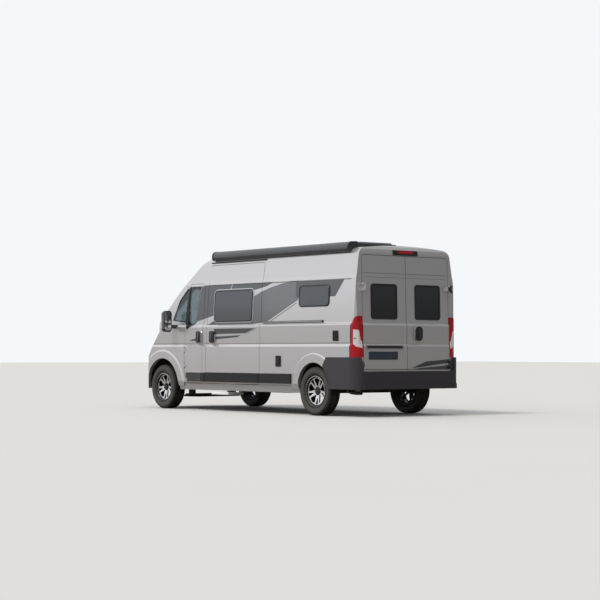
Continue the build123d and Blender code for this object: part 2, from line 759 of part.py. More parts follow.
tow_stations = (5640, 5780)
with chassis:
    with Locations(*[(at(station), way * 420, rail_low) for station in tow_stations for way in (-1, 1)]):
        Cylinder(tow_hole_radius, 80, mode=Mode.SUBTRACT)
keep(chassis.part, "chassis")

# Knuckles between the arms, each with its stub axle
stub_radius = 26
stub_end = 44
for side, way in (("left", 1), ("right", -1)):
    with BuildPart() as knuckle:
        with BuildSketch(Plane((at(front_axle), way * kingpin_y, arm_low + seat_gap))):
            Circle(24)
        extrude(amount=arm_high - arm_low - 2 * seat_gap)
        with BuildSketch(Plane.XZ.offset(-way * (kingpin_y - 20))):
            with Locations((at(front_axle), axle_z)):
                Circle(62)
        extrude(amount=-way * 48)
        with BuildSketch(Plane.XZ.offset(-way * kingpin_y)):
            with Locations((at(front_axle), axle_z)):
                Circle(stub_radius)
        extrude(amount=-way * (front_track / 2 + stub_end - kingpin_y))
        low, high = sorted((way * (kingpin_y - 40), way * (kingpin_y - 10)))
        add(box(front_axle, front_axle + 130, low, high, axle_z - 40, axle_z - 15))
    keep(knuckle.part, f"knuckle_{side}")

# Rear beam axle on leaf springs
with BuildPart() as rear_axle:
    with BuildSketch(Plane.XZ.offset(-850)):
        with Locations((at(rear_axle_s), axle_z)):
            Circle(38)
    extrude(amount=1700)
    with BuildSketch(Plane.XZ.offset(-rear_track / 2 - stub_end)):
        with Locations((at(rear_axle_s), axle_z)):
            Circle(stub_radius)
    extrude(amount=rear_track + 2 * stub_end)
    for way in (-1, 1):
        low, high = sorted((way * 540, way * 600))
        add(box(rear_axle_s - 620, rear_axle_s + 620, low, high, axle_z + 38, axle_z + 62))
        for end in (-600, 600):
            add(box(rear_axle_s + end - 20, rear_axle_s + end + 20, low, high, axle_z + 62,
                    floor_z - floor_thick))
        add(box(rear_axle_s - 60, rear_axle_s + 60, low, high, axle_z, axle_z + 38))
keep(rear_axle.part, "rear_axle")

# Wheels: place, station, track centre, side
rim_radius = 230
rim_bore = 202
wheel_table = [
    ("front_left", front_axle, front_track / 2),
    ("front_right", front_axle, -front_track / 2),
    ("rear_left", rear_axle_s, rear_track / 2),
    ("rear_right", rear_axle_s, -rear_track / 2),
]
half_section = tyre_section / 2
tread_half = 90
tyre_facets = 60
tyre_rings = [(-half_section, 302), (-tread_half, tyre_radius), (tread_half, tyre_radius), (half_section, 302)]
dish_rings = [(half_section, 298), (half_section - 26, rim_radius + 4)]
with BuildSketch() as petal_window:
    with BuildLine():
        Polyline((165, 62), (100, 22), (72, 8), (66, 0), (72, -8), (100, -22), (165, -62))
        ThreePointArc((165, -62), (194, 0), (165, 62))
    make_face()
with BuildSketch() as wedge_window:
    with BuildLine():
        Polyline((191, 30), (165, 22), (98, 4), (98, -4), (165, -22), (191, -30))
        ThreePointArc((191, -30), (196, 0), (191, 30))
    make_face()
petals = 5
petal_step = 360 / petals
for place, station, track_y in wheel_table:
    way = 1 if track_y > 0 else -1
    hub = Plane(origin=(at(station), track_y, axle_z), x_dir=(1, 0, 0), z_dir=(0, way, 0))
    turn = Axis(hub.origin, hub.z_dir)
    section = Plane(origin=hub.origin, x_dir=hub.z_dir, z_dir=hub.x_dir)
    with BuildPart() as tyre:
        for level, radius in tyre_rings:
            with BuildSketch(hub.offset(level)):
                RegularPolygon(radius, tyre_facets)
        loft(ruled=True)
        for end in (-1, 1):
            for level, radius in dish_rings:
                with BuildSketch(hub.offset(end * level)):
                    RegularPolygon(radius, tyre_facets)
            loft(ruled=True, mode=Mode.SUBTRACT)
        with BuildSketch(hub.offset(-half_section)):
            Circle(rim_radius)
        extrude(amount=tyre_section, mode=Mode.SUBTRACT)
    keep(tyre.part, f"tyre_{place}")
    with BuildPart() as rim:
        with BuildSketch(section):
            with BuildLine():
                Polyline((-90, rim_radius), (90, rim_radius), (92, rim_radius - 10), (82, rim_radius - 18),
                         (66, rim_bore), (-80, rim_bore), (-90, rim_radius - 12), (-90, rim_radius), close=True)
            make_face()
            with BuildLine():
                Polyline((14, 0), (40, 0), (42, 60), (64, rim_bore + 2), (40, rim_bore + 2), (16, 62), (14, 0),
                         close=True)
            make_face()
        revolve(axis=turn)
        with BuildSketch(hub):
            with PolarLocations(0, petals, start_angle=-90 * way):
                add(petal_window.sketch)
            with PolarLocations(0, petals, start_angle=-90 * way + petal_step / 2):
                add(wedge_window.sketch)
        extrude(amount=100, mode=Mode.SUBTRACT)
        with BuildSketch(hub.offset(-30)):
            Circle(62)
        extrude(amount=76)
        with BuildSketch(hub.offset(stub_end)):
            Circle(34)
        extrude(amount=10)
        with BuildSketch(hub.offset(-40)):
            Circle(stub_radius + seat_gap)
        extrude(amount=40 + stub_end + seat_gap, mode=Mode.SUBTRACT)
    keep(rim.part, f"rim_{place}")

# Mirrors, each on an arm from the foot of the windscreen pillar
for side, way in (("left", 1), ("right", -1)):
    with BuildPart() as mirror_head:
        for plane_s, depth, slope in ((1330, 64, 0), (1267, 70, 26)):
            with BuildSketch(Plane.YZ.offset(at(plane_s))):
                with Locations((way * 1177, 1446)):
                    RectangleRounded(154, 350, 50)
            extrude(amount=depth, taper=slope)
        low, high = sorted((way * 900, way * 1115))
        add(box(1240, 1330, low, high, 1330, 1390))
        add(outer, mode=Mode.SUBTRACT)
    keep(mirror_head.part, f"mirror_{side}")

# Cab: dashboard, steering wheel and seats
helm = Plane(origin=(at(1500), -430, 1180), x_dir=(0, 1, 0), z_dir=(-0.8, 0, 0.6))
shroud_end = -44
with BuildPart() as dashboard:
    with BuildSketch(Plane.XZ.offset(-880)):
        with BuildLine():
            Polyline((at(1030), 900), (at(1030), 1285), (at(1180), 1285))
            ThreePointArc((at(1180), 1285), (at(1340), 1240), (at(1390), 1130))
            Polyline((at(1390), 1130), (at(1300), 900), (at(1030), 900))
        make_face()
    extrude(amount=1760)
    with BuildSketch(helm.offset(shroud_end)):
        Circle(44)
    extrude(amount=-220)
keep(dashboard.part, "dashboard")
with BuildPart() as steering_wheel:
    with BuildSketch(helm.offset(-12)):
        Circle(200)
        Circle(176, mode=Mode.SUBTRACT)
        Rectangle(370, 36)
        Circle(60)
    extrude(amount=24)
    with BuildSketch(helm.offset(shroud_end + seat_gap)):
        Circle(34)
    extrude(amount=-shroud_end)
keep(steering_wheel.part, "steering_wheel")
with BuildPart() as seats:
    for way in (-1, 1):
        low, high = sorted((way * 180, way * 680))
        with BuildSketch(Plane.XZ.offset(-low)):
            with BuildLine():
                Polyline((at(1720), floor_z), (at(1700), 960), (at(1660), 1060), (at(2130), 1060),
                         (at(2230), 1720), (at(2330), 1720), (at(2260), 1000), (at(2200), floor_z),
                         (at(1720), floor_z), close=True)
            make_face()
        extrude(amount=-(high - low))
        with BuildSketch(Plane.YZ.offset(at(2330))):
            with Locations((way * 430, 1815)):
                RectangleRounded(250, 160, 50)
        extrude(amount=80)
        for post_y in (-50, 50):
            add(box(2275, 2290, way * 430 + post_y - 7, way * 430 + post_y + 7, 1700, 1760))
keep(seats.part, "cab_seats")

# Living space: kitchen unit and bed, standing on the floor
with BuildPart() as furniture:
    add(box(2600, 3700, -900, -480, floor_z, 1380))
    add(box(4300, 5750, -740, 740, floor_z + 300, floor_z + 420))
    for station in (4330, 5690):
        for side_y in (-700, 680):
            add(box(station, station + 30, side_y, side_y + 20, floor_z, floor_z + 300))
keep(furniture.part, "furniture")

# Engine, exhaust and tanks
engine_foot = floor_z - floor_thick
keep(joined(box(380, 830, -330, 330, engine_foot, 1020), box(560, 640, -420, 420, engine_foot, engine_foot + 50)),
     "engine")
with BuildPart() as exhaust:
    with BuildSketch(Plane.YZ.offset(at(4300))):
        with Locations((-500, 372)):
            Circle(28)
    extrude(amount=4300 - 1500)
    with BuildSketch(Plane.YZ.offset(at(3650))):
        with Locations((-500, 372)):
            Circle(72)
    extrude(amount=650)
    for station in (3100, 4200):
        add(box(station, station + 30, -520, -480, 372, floor_z - floor_thick))
keep(exhaust.part, "exhaust")
with BuildPart() as tanks:
    add(box(1900, 2900, -860, -560, 300, floor_z - floor_thick))
    add(box(3300, 4200, 480, 860, 320, floor_z - floor_thick))
keep(tanks.part, "tanks")
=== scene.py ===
import math

import bmesh
import bpy
from mathutils import Matrix, Vector
from mathutils.bvhtree import BVHTree


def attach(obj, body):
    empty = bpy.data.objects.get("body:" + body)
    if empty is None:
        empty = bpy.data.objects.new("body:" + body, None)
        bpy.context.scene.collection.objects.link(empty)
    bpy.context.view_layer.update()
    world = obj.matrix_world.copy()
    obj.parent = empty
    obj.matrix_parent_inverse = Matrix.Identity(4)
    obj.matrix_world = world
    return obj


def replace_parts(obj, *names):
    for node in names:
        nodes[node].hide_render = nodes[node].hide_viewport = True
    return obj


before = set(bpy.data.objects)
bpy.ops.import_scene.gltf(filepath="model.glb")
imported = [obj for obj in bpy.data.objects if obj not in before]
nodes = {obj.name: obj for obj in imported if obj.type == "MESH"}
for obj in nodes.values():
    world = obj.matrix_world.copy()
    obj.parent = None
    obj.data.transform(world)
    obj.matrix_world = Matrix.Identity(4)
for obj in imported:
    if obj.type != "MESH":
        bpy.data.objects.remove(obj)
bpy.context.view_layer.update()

# Camera. It stands behind the van's left rear corner at chest height, with a long lens, and looks
# very slightly upwards.
camera = bpy.data.objects.new("camera", bpy.data.cameras.new("camera"))
camera.data.sensor_width = 36
camera.data.lens = 101.11
camera.data.clip_end = 600
camera.matrix_world = (
    Matrix.Translation((-21.528, 16.645, 0.939))
    @ Matrix.Rotation(math.radians(-38.178 - 90), 4, "Z")
    @ Matrix.Rotation(math.radians(90 + 1.78), 4, "X")
    @ Matrix.Rotation(math.radians(0.1075), 4, "Z")
)
bpy.context.scene.collection.objects.link(camera)
bpy.context.scene.camera = camera
bpy.context.scene.view_settings.view_transform = "Standard"


# Floor and studio light. A wide pale floor under a soft white surround, and one lamp from high on the
# left, which lights the side and roof more than the tail.
LENGTH = 5.998
NOSE_X = LENGTH / 2


class Mark:
    """a number that varies over a surface; sums and products of marks add their own Math nodes"""

    def __init__(self, finish, socket):
        self.finish, self.socket = finish, socket

    def reckon(self, operation, *values, clamped=False):
        return self.finish.add("Math", {"operation": operation, "use_clamp": clamped}, *values)

    def __add__(self, other):
        return self.reckon("ADD", self, other)

    def __sub__(self, other):
        return self.reckon("SUBTRACT", self, other)

    def __rsub__(self, other):
        return self.reckon("SUBTRACT", other, self)

    def __mul__(self, other):
        return self.reckon("MULTIPLY", self, other)

    def __abs__(self):
        return self.reckon("ABSOLUTE", self)

    def least(self, other):
        return self.reckon("MINIMUM", self, other)

    def most(self, other):
        return self.reckon("MAXIMUM", self, other)

    def fraction(self):
        return self.reckon("FRACT", self)

    def root(self):
        return self.reckon("SQRT", self)

    def above(self, level, soft=0.0015):
        """0 below a level and 1 above it, with a soft edge"""
        return self.reckon("MULTIPLY_ADD", self, 1 / soft, 0.5 - level / soft, clamped=True)

    def below(self, level, soft=0.0015):
        return self.reckon("MULTIPLY_ADD", self, -1 / soft, 0.5 + level / soft, clamped=True)


class Finish:
    """one material: a Principled shader, and the nodes that vary it over the surface"""

    def __init__(self, name, colour, roughness, **constants):
        self.material = bpy.data.materials.new(name)
        self.material.use_nodes = True
        self.tree = self.material.node_tree
        self.shader = self.tree.nodes["Principled BSDF"]
        self.shader.inputs["Base Color"].default_value = (*colour, 1)
        self.shader.inputs["Roughness"].default_value = roughness
        for socket, value in constants.items():
            self.shader.inputs[socket.replace("_", " ")].default_value = value
        self.colour = (*colour, 1)
        self.steps = {}

    def add(self, kind, settings, *values, out=0, **named):
        node = self.tree.nodes.new("ShaderNode" + kind)
        stops = settings.pop("stops", None)
        for name, value in settings.items():
            setattr(node, name, value)
        if stops:
            for element, (place, shade) in zip(node.color_ramp.elements, (stops[0], stops[-1])):
                element.position, element.color = place, shade
            for place, shade in stops[1:-1]:
                node.color_ramp.elements.new(place).color = shade
        for place, value in [*enumerate(values), *named.items()]:
            socket = node.inputs[place.replace("_", " ") if isinstance(place, str) else place]
            if isinstance(value, Mark):
                self.tree.links.new(value.socket, socket)
            else:
                socket.default_value = value
        return Mark(self, node.outputs[out])

    def place(self, axis=None):
        """the point of the object that is being coloured, or one of its three numbers"""
        if "point" not in self.steps:
            self.steps["point"] = self.add("TexCoord", {}, out="Object")
            self.steps["split"] = self.add("SeparateXYZ", {}, self.steps["point"])
        if axis is None:
            return self.steps["point"]
        return Mark(self, self.steps["split"].socket.node.outputs["XYZ".index(axis)])

    def station(self):
        """how far the point lies behind the front bumper"""
        return NOSE_X - self.place("X")

    def grain(self, scale, detail=2.0, roughness=0.5, point=None):
        return self.add("TexNoise", {}, point or self.place(), Scale=scale, Detail=detail,
                        Roughness=roughness)

    def tint(self, mask, colour):
        """lays a colour over what is there, where the mask is 1"""
        shown = self.steps.get("colour", self.colour)
        layer = self.add("Mix", {"data_type": "RGBA"}, out=2)
        mixer = layer.socket.node
        for index, value in ((0, mask), (6, shown), (7, (*colour, 1))):
            if isinstance(value, Mark):
                self.tree.links.new(value.socket, mixer.inputs[index])
            else:
                mixer.inputs[index].default_value = value
        self.steps["colour"] = layer
        return self

    def vary(self, socket, mark):
        self.tree.links.new(mark.socket, self.shader.inputs[socket])
        return self

    def relief(self, height, depth, strength=1.0):
        """raises and sinks the surface in the light by a height mark"""
        bump = self.add("Bump", {}, Strength=strength, Distance=depth, Height=height)
        return self.vary("Normal", bump)

    def done(self):
        if "colour" in self.steps:
            self.vary("Base Color", self.steps["colour"])
        return self.material


def cover(finish, *names):
    """puts a finish on CAD nodes"""
    material = finish.done()
    for name in names:
        nodes[name].data.materials.clear()
        nodes[name].data.materials.append(material)


def gathered(*meshes):
    """several bmeshes made one"""
    whole = bmesh.new()
    for mesh in meshes:
        carrier = bpy.data.meshes.new("carrier")
        mesh.to_mesh(carrier)
        mesh.free()
        whole.from_mesh(carrier)
        bpy.data.meshes.remove(carrier)
    return whole


def make_piece(name, mesh, finish, body=None, crease=35):
    """turns a finished bmesh into an object that rides on a body"""
    data = bpy.data.meshes.new(name)
    mesh.to_mesh(data)
    mesh.free()
    data.polygons.foreach_set("use_smooth", [True] * len(data.polygons))
    data.set_sharp_from_angle(angle=math.radians(crease))
    data.materials.append(finish.done())
    piece = bpy.data.objects.new(name, data)
    bpy.context.scene.collection.objects.link(piece)
    if body:
        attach(piece, body)
    return piece


paving = Finish("paving", (0.215, 0.20, 0.185), 0.9, Specular_IOR_Level=0.1)
paving.tint(paving.add("LightPath", {}, out="Is Camera Ray"), (0.60, 0.595, 0.58))
paving.tint(paving.grain(0.35, 4.0).above(0.5, 0.6) * 0.12, (0.50, 0.49, 0.47))
paving.relief(paving.grain(40.0, 4.0), 0.002, 0.25)
floor_mesh = bmesh.new()
bmesh.ops.create_grid(floor_mesh, x_segments=2, y_segments=2, size=110)
make_piece("ground", floor_mesh, paving)

surround = bpy.data.worlds.new("surround")
bpy.context.scene.world = surround
surround.use_nodes = True
sky_nodes, sky_links = surround.node_tree.nodes, surround.node_tree.links
ray = sky_nodes.new("ShaderNodeLightPath")
seen = sky_nodes.new("ShaderNodeMath")
seen.operation = "MAXIMUM"
sky_links.new(ray.outputs["Is Camera Ray"], seen.inputs[0])
sky_links.new(ray.outputs["Is Transmission Ray"], seen.inputs[1])
direction = sky_nodes.new("ShaderNodeTexCoord")
facing = sky_nodes.new("ShaderNodeVectorMath")
facing.operation = "DOT_PRODUCT"
facing.inputs[1].default_value = (0.30, 0.66, 0.69)
sky_links.new(direction.outputs["Generated"], facing.inputs[0])
softbox = sky_nodes.new("ShaderNodeMapRange")
softbox.interpolation_type = "SMOOTHSTEP"
for socket, value in (("From Min", -0.70), ("From Max", 0.95), ("To Min", 0.22), ("To Max", 1.08)):
    softbox.inputs[socket].default_value = value
sky_links.new(facing.outputs["Value"], softbox.inputs["Value"])
brightness = sky_nodes.new("ShaderNodeMix")
brightness.inputs[3].default_value = 0.96
sky_links.new(seen.outputs[0], brightness.inputs[0])
sky_links.new(softbox.outputs["Result"], brightness.inputs[2])
sky_nodes["Background"].inputs["Color"].default_value = (0.955, 0.975, 1, 1)
sky_links.new(brightness.outputs[0], sky_nodes["Background"].inputs["Strength"])

sun = bpy.data.objects.new("key lamp", bpy.data.lights.new("key lamp", "SUN"))
sun.data.energy = 1.7
sun.data.angle = math.radians(12)
sun.data.color = (1.0, 0.95, 0.88)
sun.matrix_world = Vector((0.10, 0.62, 0.90)).to_track_quat("Z", "Y").to_matrix().to_4x4()
bpy.context.scene.collection.objects.link(sun)


# Body paint. Pressed steel panels in metallic silver under clear lacquer, with dark grey vinyl
# graphics on both sides and the right rear door, and black handles, light bar and hinges on the doors.
def outlined(finish, across, up, corners, soft=0.0015):
    """1 inside a convex outline given in metres, 0 outside it, with a soft edge"""
    turned = sum(a[0] * b[1] - b[0] * a[1] for a, b in zip(corners, corners[1:] + corners[:1]))
    inside = None
    for (a0, a1), (b0, b1) in zip(corners, corners[1:] + corners[:1]):
        long = math.hypot(b0 - a0, b1 - a1) * (1 if turned > 0 else -1)
        n0, n1 = (a1 - b1) / long, (b0 - a0) / long
        part = across.reckon("MULTIPLY_ADD", up, n1, -(a0 * n0 + a1 * n1))
        edge = across.reckon("MULTIPLY_ADD", across, n0, part)
        inside = edge if inside is None else inside.least(edge)
    return inside.above(0, soft)


def within(mark, low, high, soft=0.0015):
    """1 between two levels of a mark"""
    return mark.above(low, soft) * mark.below(high, soft)


paint = Finish("silver_lacquer", (0.58, 0.567, 0.572), 0.3, Metallic=0.72, Coat_Weight=0.5,
               Coat_Roughness=0.06)
station = paint.station()
height = paint.place("Z")
width = abs(paint.place("Y"))
across_tail = paint.place("Y")
behind = paint.place("X")
flank = width.above(0.87, 0.004) * station.below(5.78, 0.004)
dark_vinyl = [
    [(1.995, 2.0), (2.098, 2.021), (2.42, 2.021), (2.42, 1.537), (1.895, 1.436)],
    [(2.405, 2.021), (3.40, 2.021), (3.40, 1.90), (2.405, 1.90)],
    [(3.39, 2.021), (4.145, 2.021), (3.846, 1.974), (3.604, 1.915), (3.39, 1.845)],
    [(2.193, 1.376), (2.423, 1.461), (3.43, 1.461), (3.43, 1.376)],
    [(4.48, 2.014), (5.625, 2.006), (5.433, 1.762), (4.5, 1.76)],
    [(2.408, 1.315), (3.516, 1.314), (3.262, 1.237), (2.409, 1.228)],
    [(2.443, 1.188), (3.134, 1.207), (3.037, 1.175), (2.443, 1.144)],
    [(3.30, 1.237), (3.545, 1.314), (3.565, 1.314), (3.322, 1.237)],
    [(1.681, 1.124), (1.925, 1.172), (1.925, 1.123)],
    [(3.80, 1.392), (3.83, 1.392), (4.52, 1.678), (4.52, 1.69)],
]
dark = None
for corners in dark_vinyl:
    patch = outlined(paint, station, height, corners)
    dark = patch if dark is None else dark.most(patch)
sweep_edge = [(3.39, 1.798), (3.604, 1.874), (3.846, 1.937), (4.145, 1.993), (4.386, 2.021)]
sweep_foot = [(4.56, 2.021), (4.56, 1.732), (3.76, 1.40), (3.39, 1.376)]
swept = outlined(paint, station, height, [*sweep_edge, *sweep_foot])
LATTICE_LINES = 22.0
rising = ((station * 0.7 + height * 1.2) * LATTICE_LINES).fraction().above(0.8, 0.1)
falling = ((station * 0.9 - height) * LATTICE_LINES).fraction().above(0.8, 0.1)
lattice = rising.most(falling) * station.above(3.62, 0.5) * height.above(1.5, 0.3)
lit_line = outlined(paint, station, height, [(2.84, 2.021), (2.86, 2.021), (2.80, 1.925), (2.78, 1.925)])
paint.tint(flank * swept, (0.13, 0.134, 0.143))
paint.tint(flank * swept * lattice * 0.55, (0.33, 0.34, 0.35))
paint.tint(flank * dark, (0.098, 0.101, 0.109))
paint.tint(flank * lit_line, (0.45, 0.45, 0.46))
# Painted shade: a dark line under the rain channel bead along each side, and dark lines in the two creases
# across the rear doors.
gutter_shade_line = within(height, 2.003, 2.013, 0.003) * flank * station.above(1.56)
tail = behind.below(-2.80, 0.004)
swoosh = outlined(paint, across_tail, height,
                  [(-0.031, 0.694), (-0.37, 0.807), (-0.852, 0.842), (-0.852, 0.764), (-0.272, 0.722)])
swoosh = swoosh.most(outlined(paint, across_tail, height,
                              [(-0.05, 0.69), (-0.272, 0.712), (-0.852, 0.752), (-0.852, 0.69)]))
paint.tint(tail * swoosh, (0.075, 0.08, 0.09))
tail_crease_shade = within(height, 2.094, 2.102, 0.004).most(within(height, 2.037, 2.043, 0.004)) * tail
paint.tint(gutter_shade_line.most(tail_crease_shade * width.below(0.82, 0.02)) * 0.75, (0.10, 0.10, 0.105))
skirt = width.above(1.0335, 0.001) * within(station, 1.64, 2.1)
slide_grip = outlined(paint, station, height, [(2.30, 1.07), (2.44, 1.07), (2.44, 1.30), (2.30, 1.30)])
slide_grip = width.above(1.016, 0.001) * slide_grip
tail_grip = outlined(paint, across_tail, height,
                     [(-0.29, 1.10), (-0.146, 1.10), (-0.146, 1.34), (-0.29, 1.34)])
tail_grip = behind.below(-2.9335, 0.001) * tail_grip
light_bar = outlined(paint, across_tail, height,
                     [(0.097, 0.997), (0.78, 0.997), (0.78, 1.039), (0.097, 1.039)])
light_bar = behind.below(-2.904, 0.001) * light_bar
dark_hinge = behind.below(-2.942, 0.002) * across_tail.below(-0.80) * height.above(0.68)
intake = width.below(0.425) * within(height, 0.44, 0.595) * station.below(0.09)
pillar = outlined(paint, station, height, [(1.552, 1.425), (1.645, 1.30), (1.705, 2.0), (1.632, 1.985)])
drop_seal = outlined(paint, station, height,
                     [(1.627, 1.302), (1.864, 1.404), (1.893, 1.430), (1.990, 2.004), (1.66, 2.004)])
quarter_seal = outlined(paint, station, height,
                        [(1.195, 1.458), (1.563, 1.426), (1.655, 1.985), (1.60, 1.982), (1.385, 1.795)])
black = pillar.most(drop_seal).most(quarter_seal) * width.above(0.80)
for part in (skirt, slide_grip, tail_grip, light_bar, dark_hinge, intake):
    black = black.most(part)
paint.tint(black, (0.018, 0.018, 0.02))
# Road dust on the lower body, and also a painted shade: the paint is darkened towards the bottom.
dust_and_low_shade = height.below(0.75, 0.7) * paint.grain(2.5, 3.0).above(0.45, 0.5)
paint.tint(dust_and_low_shade * 0.15, (0.34, 0.32, 0.29))
flakes = paint.grain(900.0, 1.0)
paint.vary("Metallic", (1 - black) * 0.72)
paint.vary("Roughness", flakes * 0.05 + 0.27 + black * 0.22 + dust_and_low_shade * 0.1)
paint.vary("Coat Weight", (1 - black) * 0.5)
paint.relief(flakes, 0.0006, 0.06)
SKIN = ("side_left", "side_right", "roof", "sliding_door", "front_wings", "cab_door_left",
        "cab_door_right", "rear_door_left", "rear_door_right", "bonnet", "front_bumper")
cover(paint, *SKIN)

# Roof side strips. A black plastic strip clipped along each side of the roof, on the left over the
# sliding door's upper track.
SIDES = {"left": 1, "right": -1}


def skin_of(*names):
    """what the bodywork's surface is found on"""
    points, faces = [], []
    for name in names:
        start = len(points)
        points += [vertex.co.copy() for vertex in nodes[name].data.vertices]
        faces += [[start + index for index in polygon.vertices] for polygon in nodes[name].data.polygons]
    return BVHTree.FromPolygons(points, faces)


def sliced(mesh, axis, step):
    """cuts a mesh across at even steps, so that it can follow a curve"""
    places = [vertex.co[axis] for vertex in mesh.verts]
    normal = Vector([1 if index == axis else 0 for index in range(3)])
    for index in range(1, math.ceil((max(places) - min(places)) / step)):
        bmesh.ops.bisect_plane(mesh, geom=[*mesh.verts, *mesh.edges, *mesh.faces],
                               plane_co=normal * (min(places) + index * step), plane_no=normal)
    return mesh


def rounded(wide, high, radius, thick, band=None, bevel=0.0, centre=(0, 0, 0)):
    """a flat plate with round corners, or a ring of it, its face towards +Z"""
    mesh = bmesh.new()
    bmesh.ops.create_grid(mesh, x_segments=1, y_segments=1, size=0.5)
    bmesh.ops.scale(mesh, vec=(wide, high, 1), verts=mesh.verts)
    bmesh.ops.bevel(mesh, geom=mesh.verts[:], offset=radius, offset_type="OFFSET", affect="VERTICES",
                    segments=7, profile=0.5, material=-1)
    if band:
        whole = mesh.faces[:]
        bmesh.ops.inset_region(mesh, faces=whole, thickness=band, use_even_offset=True, use_boundary=True)
        bmesh.ops.delete(mesh, geom=whole, context="FACES_ONLY")
    grown = bmesh.ops.extrude_face_region(mesh, geom=mesh.faces[:])["geom"]
    raised = [part for part in grown if isinstance(part, bmesh.types.BMVert)]
    bmesh.ops.translate(mesh, vec=(0, 0, thick), verts=raised)
    if bevel:
        tops = set(raised)
        rim = [edge for edge in mesh.edges if all(end in tops for end in edge.verts)
               and edge.calc_face_angle(0) > 0.8]
        bmesh.ops.bevel(mesh, geom=rim, offset=bevel, offset_type="OFFSET", affect="EDGES", segments=2,
                        profile=0.5, material=-1)
    bmesh.ops.translate(mesh, vec=centre, verts=mesh.verts)
    return mesh


FACINGS = {
    "left": Matrix(((1, 0, 0, 0), (0, 0, 1, 0), (0, 1, 0, 0), (0, 0, 0, 1))),
    "right": Matrix(((1, 0, 0, 0), (0, 0, -1, 0), (0, 1, 0, 0), (0, 0, 0, 1))),
    "rear": Matrix(((0, 0, -1, 0), (1, 0, 0, 0), (0, 1, 0, 0), (0, 0, 0, 1))),
    "front": Matrix(((0, 0, 1, 0), (1, 0, 0, 0), (0, 1, 0, 0), (0, 0, 0, 1))),
    "top": Matrix.Identity(4),
}


def turned_to(mesh, side, place=(0, 0, 0)):
    """stands a flat piece up so that it faces one side of the van"""
    mesh.transform(Matrix.Translation(place) @ FACINGS[side])
    bmesh.ops.recalc_face_normals(mesh, faces=mesh.faces)
    return mesh


def mounted(side, place, *shape, **details):
    """a rounded plate or ring that stands at a place and faces one side of the van"""
    return turned_to(rounded(*shape, **details), side, place)


def laid(mesh, side, skin, sunk=0.0015):
    """presses a flat piece, drawn in the van's own two coordinates, onto the bodywork's surface"""
    outward = (FACINGS[side] @ Vector((0, 0, 1, 0))).to_3d()
    for vertex in mesh.verts:
        flat = (FACINGS[side] @ Vector((vertex.co.x, vertex.co.y, 0, 1))).to_3d()
        met = skin.ray_cast(flat + outward * 4, -outward)[0]
        vertex.co = (met if met is not None else flat) + outward * (vertex.co.z - sunk)
    bmesh.ops.recalc_face_normals(mesh, faces=mesh.faces)
    return mesh


def at(station):
    """the van's x of a distance behind its front bumper"""
    return NOSE_X - station


bodywork = skin_of(*SKIN)
trim = Finish("black_trim", (0.014, 0.014, 0.015), 0.55, Specular_IOR_Level=0.3)
trim.relief(trim.grain(420.0, 3.0), 0.0006, 0.35)
trim.vary("Roughness", trim.grain(9.0, 3.0) * 0.2 + 0.42)
for side in SIDES:
    strip = sliced(rounded(1.483, 0.020, 0.008, 0.012, bevel=0.003, centre=(at(2.9365), 2.379, 0)), 0, 0.25)
    make_piece(f"rail_strip_{side}", laid(strip, side, bodywork), trim, "body")

# Rain channels. A folded steel bead along each side above the windows, painted with the body, which
# runs from the cab door's rear edge to the tail.
for side in SIDES:
    bead = sliced(rounded(3.67, 0.013, 0.005, 0.011, bevel=0.004, centre=(at(3.955), 2.021, 0)), 0, 0.25)
    make_piece(f"rain_channel_{side}", laid(bead, side, bodywork), paint, "body")

# Rear bumper. One moulded piece in satin anthracite plastic that wraps both rear corners, with a
# ribbed tread along its step.
bumper_plastic = Finish("bumper_plastic", (0.036, 0.033, 0.038), 0.46, Specular_IOR_Level=0.4)
bumper_plastic.relief(bumper_plastic.grain(700.0, 3.0), 0.0004, 0.25)
bumper_plastic.vary("Roughness", bumper_plastic.grain(6.0, 3.0) * 0.14 + 0.36)
cover(bumper_plastic, "rear_bumper")
treads = gathered(*[rounded(0.006, 1.30, 0.002, 0.002, centre=(at(5.946 + 0.012 * row), 0, 0.6615))
                    for row in range(4)])
bmesh.ops.recalc_face_normals(treads, faces=treads.faces)
make_piece("bumper_tread", treads, trim, "body")

# Black trim. Grained black plastic: side mouldings, grille, arch liners, mirrors, dashboard. The rail
# cover among the side mouldings is silver, with a black end.
moulding = Finish("side_trim", (0.013, 0.013, 0.014), 0.5, Specular_IOR_Level=0.3)
rail_part = moulding.place("Z").above(1.38) * moulding.station().below(5.146)
moulding.tint(rail_part, (0.42, 0.42, 0.425))
moulding.tint(within(moulding.place("Z"), 1.394, 1.399, 0.001) * rail_part, (0.03, 0.03, 0.03))
moulding.vary("Metallic", rail_part * 0.5)
moulding.vary("Roughness", moulding.grain(9.0, 3.0) * 0.2 + 0.38)
moulding.relief(moulding.grain(420.0, 3.0), 0.0006, 0.3)
cover(moulding, "side_mouldings")
gloss = Finish("gloss_black", (0.012, 0.012, 0.014), 0.16, Coat_Weight=0.7, Coat_Roughness=0.04)
gloss.vary("Roughness", gloss.grain(14.0, 3.0) * 0.1 + 0.12)
cover(gloss, "mirror_left", "mirror_right")
cover(trim, "grille", "arch_liners", "dashboard")
leather = Finish("wheel_leather", (0.022, 0.021, 0.021), 0.5)
leather.relief(leather.grain(260.0, 4.0), 0.0008, 0.5)
leather.vary("Roughness", leather.grain(40.0, 3.0) * 0.2 + 0.42)
cover(leather, "steering_wheel")

